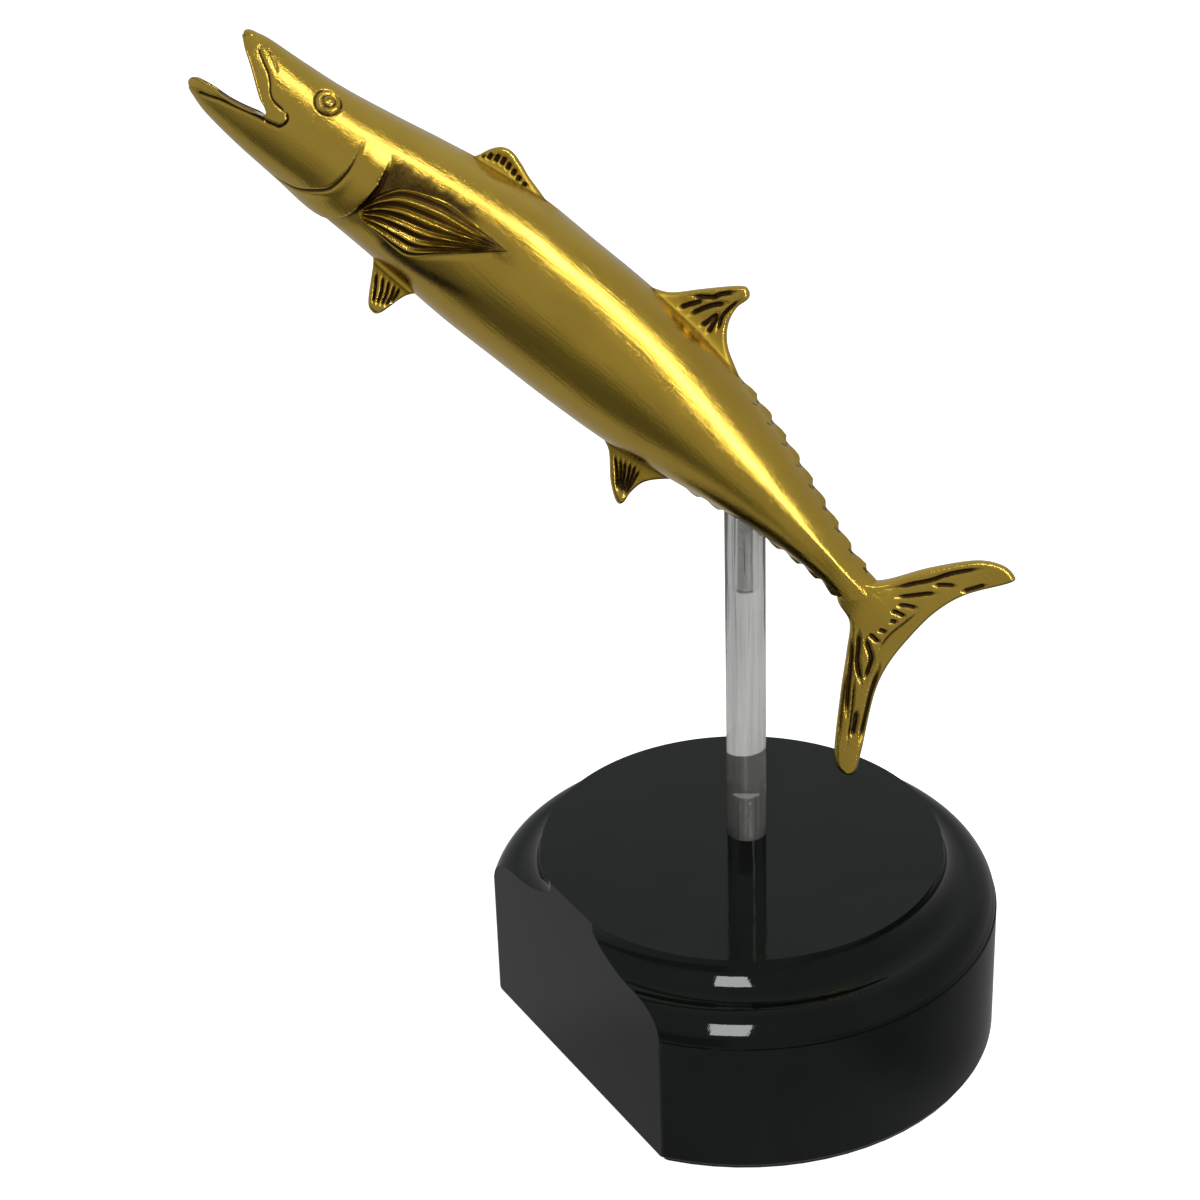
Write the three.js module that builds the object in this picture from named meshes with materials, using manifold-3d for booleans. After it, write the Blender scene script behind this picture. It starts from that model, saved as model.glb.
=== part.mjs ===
// Fishing trophy: a cast fish leaps from the top of a clear rod, which stands on a moulded round base.
// Millimetres, +Z up. The origin is the middle of the round base, on the surface that it stands on.
// The base's cut front faces -Y.

import * as THREE from "three";
import Module from "manifold-3d";
import { mergeVertices } from "three/addons/utils/BufferGeometryUtils.js";

const wasm = await Module();
wasm.setup();

// Fits between pieces
const FIT_GAP = 0.3;

// Base block, turned from board and lacquered
const BLOCK_RADIUS = 65;
const BLOCK_HEIGHT = 51.5;
const TOP_DISC_RADIUS = 51;
const RIM_DROP = 1.5;
const COVE_RADIUS = 7;
const SHOULDER_HEIGHT = 7.6;
const LEDGE_WIDTH = 0.6;
const FRONT_FLAT_DISTANCE = 50;
const FRONT_CORNER_RADIUS = 2.5;
const FOOT_ROUND = 1;

// Felt under the block
const FELT_THICKNESS = 1;
const FELT_INSET = 1;

// Clear rod, drilled a little off the middle of the round top
const ROD_RADIUS = 5;
const ROD_LENGTH = 102;
const ROD_OFFSET_X = -3.5;
const ROD_OFFSET_Y = 4;
const ROD_EDGE_ROUND = 0.4;
const ROD_SOCKET_DEPTH = 6;

// Empty length that the drills leave beyond the stud and the screw
const ROD_TOP_DRILL_SPARE = 11;
const ROD_FOOT_DRILL_SPARE = 10.5;

// Screw and washer that hold the rod down, in a recess under the block
const SCREW_RADIUS = 2;
const SCREW_LENGTH = 50;
const SCREW_HEAD_RADIUS = 4;
const SCREW_HEAD_HEIGHT = 2.5;
const SCREW_HEAD_ROUND = 0.8;
const SCREW_KEY_RADIUS = 1.6;
const SCREW_KEY_DEPTH = 1.5;
const SCREW_KEY_SIDES = 6;
const SCREW_RECESS_DEPTH = 14;
const WASHER_RADIUS = 6;
const WASHER_THICKNESS = 1;
const DRIVER_ROOM = 3;

// Stud that joins the rod and the fish
const STUD_RADIUS = 2;
const STUD_LENGTH = 34;
const STUD_GRIP_IN_FISH = 9;
const STUD_END_CHAMFER = 0.5;

// Pose of the fish on the rod. Heading is counted from +X, pitch lifts the nose, roll leans the back
// away to the fish's right.
const FISH_HEADING_DEG = 225;
const FISH_PITCH_DEG = 40;
const FISH_ROLL_DEG = 15;
const FISH_AXIS_ABOVE_ROD = 6;

// The fish's places and outlines below are drawn in this unit, which is in millimetres. Its own frame
// has +X to the nose, +Y to the left flank and +Z to the back.
const FISH_UNIT = 1;

// Fish body. Each station gives its place along X, the height of its middle, its half depth and half
// width as shares of the fullest section, and how far its back leans behind its throat.
const BODY_HALF_DEPTH = 18.5;
const BODY_HALF_WIDTH = 16.3;
const BODY_STATIONS = [
  { x: 157.5, middle: -5.6, depth: 0.44, width: 0.09, lean: 1.8 },
  { x: 156.5, middle: -5.6, depth: 0.5, width: 0.2, lean: 1.8 },
  { x: 150, middle: -6.9, depth: 0.605, width: 0.4, lean: 0.6 },
  { x: 141, middle: -6.5, depth: 0.66, width: 0.55, lean: 0 },
  { x: 130, middle: -5.5, depth: 0.72, width: 0.67, lean: 0 },
  { x: 118, middle: -4, depth: 0.78, width: 0.775, lean: 0 },
  { x: 105, middle: -2.3, depth: 0.86, width: 0.865, lean: 0 },
  { x: 92, middle: -0.9, depth: 0.94, width: 0.94, lean: 0 },
  { x: 78, middle: 0.1, depth: 1, width: 1, lean: 0 },
  { x: 63, middle: 0.6, depth: 0.995, width: 1, lean: 0 },
  { x: 47, middle: 1.1, depth: 0.985, width: 0.98, lean: 0 },
  { x: 30, middle: 1.5, depth: 0.93, width: 0.92, lean: 0 },
  { x: 14, middle: 1.7, depth: 0.79, width: 0.8, lean: 0 },
  { x: -1, middle: 1.2, depth: 0.623, width: 0.645, lean: 0 },
  { x: -14, middle: 0, depth: 0.463, width: 0.49, lean: 0 },
  { x: -25, middle: -1.5, depth: 0.34, width: 0.355, lean: 0 },
  { x: -34, middle: -3, depth: 0.265, width: 0.265, lean: 0 },
  { x: -42, middle: -4.4, depth: 0.281, width: 0.17, lean: 0 },
  { x: -47, middle: -5, depth: 0.2, width: 0.11, lean: 0 },
];
const BODY_RINGS = 58;
const BODY_RING_POINTS = 36;

// Open mouth, a notch between the jaws seen from the side
const MOUTH_CORNER = { x: 140.5, z: -8.2 };
const MOUTH_CORNER_RADIUS = 1;
const MOUTH_UPPER_ANGLE_DEG = 35;
const MOUTH_LOWER_ANGLE_DEG = -12;

// Eyes, raised discs on the head
const EYE_X = 130.4;
const EYE_AROUND_DEG = 49;
const EYE_RADIUS = 3;
const EYE_RISE = 0.5;

// Fins in the fish's middle plane. Each outline point is a place along X and how far it stands
// out of the skin of the back or the belly; a negative value is inside the body.
const FIN_ROOT_DEPTH = 5;
const FIRST_DORSAL_THICKNESS = 2.6;
const FIRST_DORSAL_OUTLINE = [
  [98.5, -1.5], [96.6, 0.8], [95.2, 3.7], [93.4, 5.4], [90.9, 5.6], [87.5, 4.2], [84, 2.4],
  [78, 0.2], [74, -1.5],
];
const SECOND_DORSAL_THICKNESS = 3;
const SECOND_DORSAL_OUTLINE = [
  [50, -1.5], [45.5, 0.2], [41.5, 2.4], [36.8, 7.7], [30.5, 14.6], [28.3, 15.4], [27, 14],
  [27.6, 10.3], [26.4, 6.1], [23, 2.6], [17, 0.3], [12, -1.5],
];
const ANAL_FIN_THICKNESS = 2.8;
const ANAL_FIN_OUTLINE = [
  [34, -1.5], [30.5, 0.3], [27.5, 2.4], [22.8, 8.2], [18.5, 12], [16.9, 11.5], [17.2, 8.1],
  [16.4, 4.2], [13, 0.8], [9, -1.5],
];

// Pelvic fins, a pair under the body that leans outwards
const PELVIC_THICKNESS = 2;
const PELVIC_SIDE = 4.5;
const PELVIC_SPREAD_DEG = 12;
const PELVIC_OUTLINE = [
  [101, -1.5], [99, 0.4], [94.6, 7.4], [92.4, 9], [90.4, 8], [88.6, 1.5], [86.5, -1.5],
];

// Pectoral fins, folded back against the flanks. Each station gives its place along X and its
// lower and upper edge in degrees around the body, with 0 at the middle of the flank.
const PECTORAL_RISE = 1.8;
const PECTORAL_EDGE_RISE = 0.7;
const PECTORAL_ROOT = 1.5;
const PECTORAL_STATIONS = [
  { x: 110, lower: -20, upper: -8 },
  { x: 107, lower: -26, upper: 4 },
  { x: 103, lower: -29, upper: 17 },
  { x: 98, lower: -29, upper: 23 },
  { x: 93, lower: -25, upper: 25 },
  { x: 88, lower: -9, upper: 24.5 },
  { x: 83, lower: 6, upper: 24 },
  { x: 77.5, lower: 19, upper: 23 },
];
const PECTORAL_STEPS_ACROSS = 6;

// Finlets, low scallops behind the fins along the back and the belly. The scallop is given as shares
// of the pitch from one finlet to the next, with how far it stands out of the skin there.
const FINLET_RISE = 0.8;
const FINLET_SHOULDER = 0.6;
const FINLET_FOOT = 0.1;
const FINLET_ROOT = 3;
const FINLET_THICKNESS = 2;
const FINLET_SCALLOP = [[0, FINLET_FOOT], [0.4, FINLET_SHOULDER], [0.75, FINLET_RISE], [0.92, FINLET_FOOT]];
const BACK_FINLETS = { count: 9, fromX: 15, toX: -38 };
const BELLY_FINLETS = { count: 8, fromX: 9, toX: -37 };

// Tail fin, in the middle plane. Points are places along X and heights from the fish's axis.
const TAIL_THICKNESS = 4;
const TAIL_OUTLINE = [
  [-36, -1.5], [-41.9, 1.2], [-48.5, 11.4], [-55.5, 20.2], [-61, 23.6], [-65, 23.6], [-65.4, 21.6],
  [-59.6, 12.5], [-57.2, 4.8], [-56.8, -3.5], [-57.6, -13], [-60.5, -21.5], [-68.2, -34.9],
  [-70.2, -39.6], [-68, -41.4], [-63.4, -39.2], [-54.1, -26.6], [-48, -17.5], [-43.3, -11.2], [-37, -8.5],
];

// Heights and a radius that follow from the sizes above
const BASE_HEIGHT = FELT_THICKNESS + BLOCK_HEIGHT;
const ROD_FOOT_Z = BASE_HEIGHT - ROD_SOCKET_DEPTH;
const ROD_TOP_Z = ROD_FOOT_Z + ROD_LENGTH;
const RECESS_FLOOR_Z = FELT_THICKNESS + SCREW_RECESS_DEPTH;
const WASHER_FOOT_Z = RECESS_FLOOR_Z - WASHER_THICKNESS;
const STUD_FOOT_Z = ROD_TOP_Z + STUD_GRIP_IN_FISH - STUD_LENGTH;
const SCREW_TIP_Z = WASHER_FOOT_Z + SCREW_LENGTH;
const ROD_TOP_DRILL_Z = STUD_FOOT_Z - ROD_TOP_DRILL_SPARE;
const ROD_FOOT_DRILL_Z = SCREW_TIP_Z + ROD_FOOT_DRILL_SPARE;
const SCREW_RECESS_RADIUS = WASHER_RADIUS + DRIVER_ROOM;

// Steps round a full turn, and between the points of a smooth outline
const FINE_TURN = 72;
const ROD_TURN = 48;
const SMALL_TURN = 24;
const OUTLINE_STEPS = 3;
const PLAN_STEPS = 56;
const CORNER_STEPS = 4;
const MOULDING_STEPS = 7;
const SMALL_ROUND_STEPS = 3;
const MOUTH_ROOT_STEPS = 6;

// Share of a fin's thickness that is rounded off at each edge
const EDGE_SOFTENING = 0.3;

// Halvings that find a place along the body to well under a thousandth of a millimetre
const SEARCH_HALVINGS = 40;

// Corners nearer than this are one
const WELD_DISTANCE = 1e-4;

// A cutter reaches this many times as far as what it cuts
const CUTTER_REACH = 2;

// Materials
function finish(color, roughness, metalness, opacity = 1) {
  return new THREE.MeshStandardMaterial({
    color, roughness, metalness, opacity, transparent: opacity < 1,
  });
}
const GOLD = finish(0xa5852c, 0.32, 1);
const BLACK_LACQUER = finish(0x0b0c0b, 0.06, 0);
const BLACK_FELT = finish(0x151515, 0.95, 0);
const CLEAR_ACRYLIC = finish(0xe8eeee, 0.03, 0, 0.35);
const STEEL = finish(0x9a9c9e, 0.35, 1);

// Geometry helpers

// Shares each corner once and drops triangles that have shrunk to a line.
function welded(geometry) {
  const bare = new THREE.BufferGeometry();
  bare.setAttribute("position", geometry.getAttribute("position"));
  bare.setIndex(geometry.getIndex());
  const merged = mergeVertices(bare, WELD_DISTANCE);
  const corners = merged.getIndex().array;
  const kept = [];
  for (let i = 0; i < corners.length; i += 3) {
    const [a, b, c] = [corners[i], corners[i + 1], corners[i + 2]];
    if (a !== b && b !== c && c !== a) kept.push(a, b, c);
  }
  merged.setIndex(kept);
  return merged;
}

function toSolid(geometry) {
  const closed = welded(geometry);
  return new wasm.Manifold(new wasm.Mesh({
    numProp: 3,
    vertProperties: new Float32Array(closed.getAttribute("position").array),
    triVerts: new Uint32Array(closed.getIndex().array),
  }));
}

function toGeometry(solid) {
  const mesh = solid.getMesh();
  const geometry = new THREE.BufferGeometry();
  geometry.setAttribute("position", new THREE.BufferAttribute(new Float32Array(mesh.vertProperties), 3));
  geometry.setIndex(Array.from(mesh.triVerts));
  geometry.computeVertexNormals();
  return geometry;
}

// A lathe turns [radius, height] points, listed from the foot up, about the Z axis.
function turned(profile, turn) {
  const points = profile.map(([radius, height]) => new THREE.Vector2(radius, height));
  const geometry = new THREE.LatheGeometry(points, turn);
  geometry.rotateX(Math.PI / 2);
  return geometry;
}

function cylinder(radius, footZ, topZ, turn = SMALL_TURN) {
  return turned([[0, footZ], [radius, footZ], [radius, topZ], [0, topZ]], turn);
}

function atRod(geometry) {
  return geometry.translate(ROD_OFFSET_X, ROD_OFFSET_Y, 0);
}

// Points on an arc about a centre, in [radius, height] or [x, z] pairs.
function arcPoints([centreX, centreY], radiusX, radiusY, fromDeg, toDeg, steps) {
  const points = [];
  for (let i = 0; i <= steps; i += 1) {
    const angle = THREE.MathUtils.degToRad(fromDeg + ((toDeg - fromDeg) * i) / steps);
    points.push([centreX + radiusX * Math.cos(angle), centreY + radiusY * Math.sin(angle)]);
  }
  return points;
}

// Base

// The round plan with its straight front and softly rounded front corners. The inset moves all of it
// inwards. The overcut lets the round part stand clear of a turned wall that the plan is to trim.
function basePlan(inset, overcut) {
  const radius = BLOCK_RADIUS - inset;
  const corner = FRONT_CORNER_RADIUS;
  const cornerY = inset - FRONT_FLAT_DISTANCE + corner;
  const cornerX = Math.sqrt((radius - corner) ** 2 - cornerY ** 2);
  const wallFromDeg = THREE.MathUtils.radToDeg(Math.atan2(cornerY, cornerX));
  const rightCorner = arcPoints([cornerX, cornerY], corner, corner, -90, wallFromDeg, CORNER_STEPS);
  const leftCorner = rightCorner.map(([x, y]) => [-x, y]).reverse();
  const round = radius + overcut;
  const wall = arcPoints([0, 0], round, round, wallFromDeg, 180 - wallFromDeg, PLAN_STEPS);
  const betweenCorners = overcut > 0 ? wall : wall.slice(1, -1);
  const outline = [...rightCorner, ...betweenCorners, ...leftCorner];
  return new THREE.Shape(outline.map(([x, y]) => new THREE.Vector2(x, y)));
}

function extrudedPlan(inset, overcut, footZ, topZ) {
  const geometry = new THREE.ExtrudeGeometry(basePlan(inset, overcut), {
    depth: topZ - footZ, bevelEnabled: false,
  });
  return geometry.translate(0, 0, footZ);
}

// From the foot up: a rounded foot, the wall, a fine ledge, a shoulder, a cove and the top disc's rim.
function blockProfile() {
  const coveCentre = [TOP_DISC_RADIUS + COVE_RADIUS, BASE_HEIGHT - RIM_DROP];
  const shoulderTop = BASE_HEIGHT - RIM_DROP - COVE_RADIUS;
  const shoulderFoot = shoulderTop - SHOULDER_HEIGHT;
  const shoulderWidth = BLOCK_RADIUS - LEDGE_WIDTH - coveCentre[0];
  const footCentre = [BLOCK_RADIUS - FOOT_ROUND, FELT_THICKNESS + FOOT_ROUND];
  return [
    [0, FELT_THICKNESS],
    ...arcPoints(footCentre, FOOT_ROUND, FOOT_ROUND, -90, 0, SMALL_ROUND_STEPS),
    [BLOCK_RADIUS, shoulderFoot],
    ...arcPoints([coveCentre[0], shoulderFoot], shoulderWidth, SHOULDER_HEIGHT, 0, 90, MOULDING_STEPS),
    ...arcPoints(coveCentre, COVE_RADIUS, COVE_RADIUS, 270, 180, MOULDING_STEPS).slice(1),
    [TOP_DISC_RADIUS, BASE_HEIGHT],
    [0, BASE_HEIGHT],
  ];
}

function baseBlock() {
  const plan = toSolid(extrudedPlan(0, FIT_GAP, 0, BASE_HEIGHT + FIT_GAP));
  const socket = cylinder(ROD_RADIUS + FIT_GAP, ROD_FOOT_Z, BASE_HEIGHT + FIT_GAP, ROD_TURN);
  const screwWay = cylinder(SCREW_RADIUS + FIT_GAP, 0, BASE_HEIGHT);
  const recess = cylinder(SCREW_RECESS_RADIUS, 0, RECESS_FLOOR_Z, ROD_TURN);
  return toSolid(turned(blockProfile(), FINE_TURN))
    .intersect(plan)
    .subtract(toSolid(atRod(socket)))
    .subtract(toSolid(atRod(screwWay)))
    .subtract(toSolid(atRod(recess)));
}

function feltPad() {
  return toSolid(extrudedPlan(FELT_INSET, 0, 0, FELT_THICKNESS));
}

// Fasteners and rod

function baseScrew() {
  const headFoot = WASHER_FOOT_Z - SCREW_HEAD_HEIGHT;
  const roundCentre = [SCREW_HEAD_RADIUS - SCREW_HEAD_ROUND, headFoot + SCREW_HEAD_ROUND];
  const body = turned([
    [0, headFoot],
    ...arcPoints(roundCentre, SCREW_HEAD_ROUND, SCREW_HEAD_ROUND, -90, 0, SMALL_ROUND_STEPS),
    [SCREW_HEAD_RADIUS, WASHER_FOOT_Z],
    [SCREW_RADIUS, WASHER_FOOT_Z],
    [SCREW_RADIUS, SCREW_TIP_Z - STUD_END_CHAMFER],
    [SCREW_RADIUS - STUD_END_CHAMFER, SCREW_TIP_Z],
    [0, SCREW_TIP_Z],
  ], SMALL_TURN);
  const key = cylinder(SCREW_KEY_RADIUS, headFoot - FIT_GAP, headFoot + SCREW_KEY_DEPTH, SCREW_KEY_SIDES);
  return toSolid(atRod(body)).subtract(toSolid(atRod(key)));
}

function baseWasher() {
  const inner = SCREW_RADIUS + FIT_GAP;
  const ring = turned([
    [inner, WASHER_FOOT_Z], [WASHER_RADIUS, WASHER_FOOT_Z],
    [WASHER_RADIUS, RECESS_FLOOR_Z], [inner, RECESS_FLOOR_Z], [inner, WASHER_FOOT_Z],
  ], SMALL_TURN);
  return toSolid(atRod(ring));
}

function clearRod() {
  const footHole = SCREW_RADIUS + FIT_GAP;
  const topHole = STUD_RADIUS + FIT_GAP;
  const edge = ROD_EDGE_ROUND;
  const rod = turned([
    [0, ROD_FOOT_DRILL_Z], [footHole, ROD_FOOT_DRILL_Z],
    [footHole, ROD_FOOT_Z], [ROD_RADIUS - edge, ROD_FOOT_Z], [ROD_RADIUS, ROD_FOOT_Z + edge],
    [ROD_RADIUS, ROD_TOP_Z - edge], [ROD_RADIUS - edge, ROD_TOP_Z], [topHole, ROD_TOP_Z],
    [topHole, ROD_TOP_DRILL_Z], [0, ROD_TOP_DRILL_Z],
  ], ROD_TURN);
  return toSolid(atRod(rod));
}

function fishStud() {
  const top = STUD_FOOT_Z + STUD_LENGTH;
  const end = STUD_END_CHAMFER;
  const stud = turned([
    [0, STUD_FOOT_Z], [STUD_RADIUS - end, STUD_FOOT_Z], [STUD_RADIUS, STUD_FOOT_Z + end],
    [STUD_RADIUS, top - end], [STUD_RADIUS - end, top], [0, top],
  ], SMALL_TURN);
  return toSolid(atRod(stud));
}

// Fish

const inMillimetres = ([x, y]) => [x * FISH_UNIT, y * FISH_UNIT];

const stationPlaces = new THREE.CatmullRomCurve3(
  BODY_STATIONS.map(({ x, middle, lean }) => (
    new THREE.Vector3(x, middle, lean).multiplyScalar(FISH_UNIT)
  )),
  false, "catmullrom",
);
const stationSizes = new THREE.CatmullRomCurve3(
  BODY_STATIONS.map((station) => new THREE.Vector3(station.depth, station.width, 0)),
  false, "catmullrom",
);

// The body's section at a place along X, found by halving the range of the stations' curve.
function sectionAt(x) {
  let [near, far] = [0, 1];
  for (let i = 0; i < SEARCH_HALVINGS; i += 1) {
    const half = (near + far) / 2;
    if (stationPlaces.getPoint(half).x > x) near = half;
    else far = half;
  }
  const place = stationPlaces.getPoint(near);
  const size = stationSizes.getPoint(near);
  return {
    middle: place.y,
    lean: place.z,
    halfDepth: size.x * BODY_HALF_DEPTH,
    halfWidth: size.y * BODY_HALF_WIDTH,
  };
}

// A point on the skin, or out of it: 90 degrees is the back, 0 the left flank and -90 the belly.
function skinPoint(x, aroundDeg, out = 0) {
  const section = sectionAt(x);
  const angle = THREE.MathUtils.degToRad(aroundDeg);
  return new THREE.Vector3(
    x - section.lean * Math.sin(angle),
    (section.halfWidth + out) * Math.cos(angle),
    section.middle + (section.halfDepth + out) * Math.sin(angle),
  );
}

function geometryFrom(points, triangles) {
  const geometry = new THREE.BufferGeometry();
  geometry.setFromPoints(points);
  geometry.setIndex(triangles);
  return geometry;
}

// Joins closed rings of equal length into a solid, with a fan over each end.
function lofted(rings) {
  const count = rings[0].length;
  const points = rings.flat();
  const triangles = [];
  for (let r = 0; r < rings.length - 1; r += 1) {
    for (let i = 0; i < count; i += 1) {
      const [a, b] = [r * count + i, r * count + ((i + 1) % count)];
      triangles.push(a, b, a + count, b, b + count, a + count);
    }
  }
  const capEnd = (ring, offset, isFirst) => {
    const centre = ring.reduce((sum, point) => sum.add(point), new THREE.Vector3()).divideScalar(count);
    points.push(centre);
    for (let i = 0; i < count; i += 1) {
      const [a, b] = [offset + i, offset + ((i + 1) % count)];
      if (isFirst) triangles.push(points.length - 1, b, a);
      else triangles.push(points.length - 1, a, b);
    }
  };
  capEnd(rings[0], 0, true);
  capEnd(rings[rings.length - 1], (rings.length - 1) * count, false);
  return geometryFrom(points, triangles);
}

function bodyLoft() {
  const rings = [];
  for (let r = 0; r < BODY_RINGS; r += 1) {
    const x = stationPlaces.getPoint(r / (BODY_RINGS - 1)).x;
    const ring = [];
    for (let i = 0; i < BODY_RING_POINTS; i += 1) ring.push(skinPoint(x, (-360 * i) / BODY_RING_POINTS));
    rings.push(ring);
  }
  return lofted(rings);
}

// A plate in the middle plane, drawn smoothly through [x, z] points, with softened edges. Straight
// lines close it through the root points.
function plate(outline, thickness, root = []) {
  const soft = thickness * EDGE_SOFTENING;
  const asVector = ([x, z]) => new THREE.Vector2(x, z);
  const curve = new THREE.SplineCurve(outline.map(asVector));
  const edge = curve.getSpacedPoints(outline.length * OUTLINE_STEPS);
  const shape = new THREE.Shape([...edge, ...root.map(asVector)]);
  const geometry = new THREE.ExtrudeGeometry(shape, {
    depth: thickness - 2 * soft,
    bevelEnabled: true, bevelThickness: soft, bevelSize: soft, bevelOffset: -soft, bevelSegments: 1,
  });
  geometry.translate(0, 0, soft - thickness / 2);
  return geometry.rotateX(Math.PI / 2);
}

// A fin whose outline is given by how far it stands out of the back (side 1) or belly (side -1).
function skinFin(outline, thickness, side) {
  const atSkin = ([x, out]) => [x, skinPoint(x, side * 90, out).z];
  const edge = outline.map(inMillimetres);
  const [firstX, lastX] = [edge[0][0], edge[edge.length - 1][0]];
  const root = [[lastX, -FIN_ROOT_DEPTH], [firstX, -FIN_ROOT_DEPTH]];
  return plate(edge.map(atSkin), thickness, root.map(atSkin));
}

function pelvicFin(side) {
  const fin = skinFin(PELVIC_OUTLINE, PELVIC_THICKNESS, -1);
  const rootZ = skinPoint(PELVIC_OUTLINE[1][0] * FISH_UNIT, -90).z;
  fin.translate(0, 0, -rootZ);
  fin.rotateX(THREE.MathUtils.degToRad(side * PELVIC_SPREAD_DEG));
  return fin.translate(0, side * PELVIC_SIDE, rootZ);
}

// A raised pad on the left flank, from its root inside the body to its rounded top.
function pectoralFin() {
  const rings = PECTORAL_STATIONS.map(({ x, lower, upper }) => {
    const place = x * FISH_UNIT;
    const ring = [];
    for (let i = 0; i <= PECTORAL_STEPS_ACROSS; i += 1) {
      const share = i / PECTORAL_STEPS_ACROSS;
      const swell = (PECTORAL_RISE - PECTORAL_EDGE_RISE) * Math.sin(Math.PI * share);
      ring.push(skinPoint(place, upper + (lower - upper) * share, PECTORAL_EDGE_RISE + swell));
    }
    ring.push(skinPoint(place, lower, -PECTORAL_ROOT), skinPoint(place, upper, -PECTORAL_ROOT));
    return ring;
  });
  return lofted(rings);
}

function mirroredToRight(geometry) {
  const mirrored = geometry.clone().scale(1, -1, 1);
  const corners = mirrored.getIndex().array;
  for (let i = 0; i < corners.length; i += 3) {
    [corners[i + 1], corners[i + 2]] = [corners[i + 2], corners[i + 1]];
  }
  return mirrored;
}

// The eye's disc lies square to the skin.
function eye() {
  const centre = skinPoint(EYE_X * FISH_UNIT, EYE_AROUND_DEG);
  const outward = skinPoint(EYE_X * FISH_UNIT, EYE_AROUND_DEG, 1).sub(centre).normalize();
  const disc = cylinder(EYE_RADIUS, -EYE_RADIUS, EYE_RISE);
  const turn = new THREE.Quaternion().setFromUnitVectors(new THREE.Vector3(0, 0, 1), outward);
  disc.applyQuaternion(turn);
  return disc.translate(centre.x, centre.y, centre.z);
}

// One row of scallops: each rises from its front and drops short at its back.
function finletRow({ count, fromX, toX }, side) {
  const [from, to] = inMillimetres([fromX, toX]);
  const pitch = (to - from) / count;
  const outline = [[from, -FINLET_ROOT]];
  for (let i = 0; i < count; i += 1) {
    for (const [share, out] of FINLET_SCALLOP) outline.push([from + pitch * (i + share), out]);
  }
  outline.push([to, FINLET_FOOT], [to, -FINLET_ROOT]);
  const points = outline.map(([x, out]) => new THREE.Vector2(x, skinPoint(x, side * 90, out).z));
  const geometry = new THREE.ExtrudeGeometry(new THREE.Shape(points), {
    depth: FINLET_THICKNESS, bevelEnabled: false,
  });
  geometry.translate(0, 0, -FINLET_THICKNESS / 2);
  return geometry.rotateX(Math.PI / 2);
}

// The wedge between the jaws, with a round root at the corner of the mouth.
function mouthNotch() {
  const corner = inMillimetres([MOUTH_CORNER.x, MOUTH_CORNER.z]);
  const reach = CUTTER_REACH * (BODY_STATIONS[0].x * FISH_UNIT - corner[0]);
  const span = 2 * CUTTER_REACH * BODY_HALF_WIDTH;
  const ray = (deg) => {
    const angle = THREE.MathUtils.degToRad(deg);
    return [corner[0] + reach * Math.cos(angle), corner[1] + reach * Math.sin(angle)];
  };
  const root = arcPoints(
    corner, MOUTH_CORNER_RADIUS, MOUTH_CORNER_RADIUS,
    MOUTH_UPPER_ANGLE_DEG + 90, MOUTH_LOWER_ANGLE_DEG + 270, MOUTH_ROOT_STEPS,
  );
  const points = [...root, ray(MOUTH_LOWER_ANGLE_DEG), ray(MOUTH_UPPER_ANGLE_DEG)];
  const shape = new THREE.Shape(points.map(([x, z]) => new THREE.Vector2(x, z)));
  const geometry = new THREE.ExtrudeGeometry(shape, { depth: span, bevelEnabled: false });
  return geometry.translate(0, 0, -span / 2).rotateX(Math.PI / 2);
}

// The pose that carries the fish's own frame to its place over the rod.
function fishPose() {
  const turn = new THREE.Euler(
    THREE.MathUtils.degToRad(FISH_ROLL_DEG),
    THREE.MathUtils.degToRad(-FISH_PITCH_DEG),
    THREE.MathUtils.degToRad(FISH_HEADING_DEG),
    "ZYX",
  );
  const group = new THREE.Group();
  group.position.set(ROD_OFFSET_X, ROD_OFFSET_Y, ROD_TOP_Z + FISH_AXIS_ABOVE_ROD);
  group.rotation.copy(turn);
  group.updateMatrixWorld();
  return group;
}

// The upright holes for the rod and the stud, as the fish's own frame sees them.
function rodHoles(pose) {
  const toFish = pose.matrixWorld.clone().invert();
  const belowFish = ROD_TOP_Z - CUTTER_REACH * BODY_HALF_DEPTH;
  const socket = cylinder(ROD_RADIUS + FIT_GAP, belowFish, ROD_TOP_Z + FIT_GAP, ROD_TURN);
  const studHole = cylinder(STUD_RADIUS + FIT_GAP, belowFish, ROD_TOP_Z + STUD_GRIP_IN_FISH + FIT_GAP);
  return [socket, studHole].map((hole) => toSolid(atRod(hole).applyMatrix4(toFish)));
}

function fishCasting(pose) {
  const grown = [
    plate(TAIL_OUTLINE.map(inMillimetres), TAIL_THICKNESS),
    skinFin(FIRST_DORSAL_OUTLINE, FIRST_DORSAL_THICKNESS, 1),
    skinFin(SECOND_DORSAL_OUTLINE, SECOND_DORSAL_THICKNESS, 1),
    skinFin(ANAL_FIN_OUTLINE, ANAL_FIN_THICKNESS, -1),
    pelvicFin(1),
    pelvicFin(-1),
    finletRow(BACK_FINLETS, 1),
    finletRow(BELLY_FINLETS, -1),
  ];
  for (const flankPiece of [pectoralFin(), welded(eye())]) {
    grown.push(flankPiece, mirroredToRight(flankPiece));
  }
  const whole = grown.reduce((body, piece) => body.add(toSolid(piece)), toSolid(bodyLoft()));
  const opened = whole.subtract(toSolid(mouthNotch()));
  return rodHoles(pose).reduce((body, hole) => body.subtract(hole), opened);
}

// Assembly

function node(name, solid, material) {
  const mesh = new THREE.Mesh(toGeometry(solid), material);
  mesh.name = name;
  return mesh;
}

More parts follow.
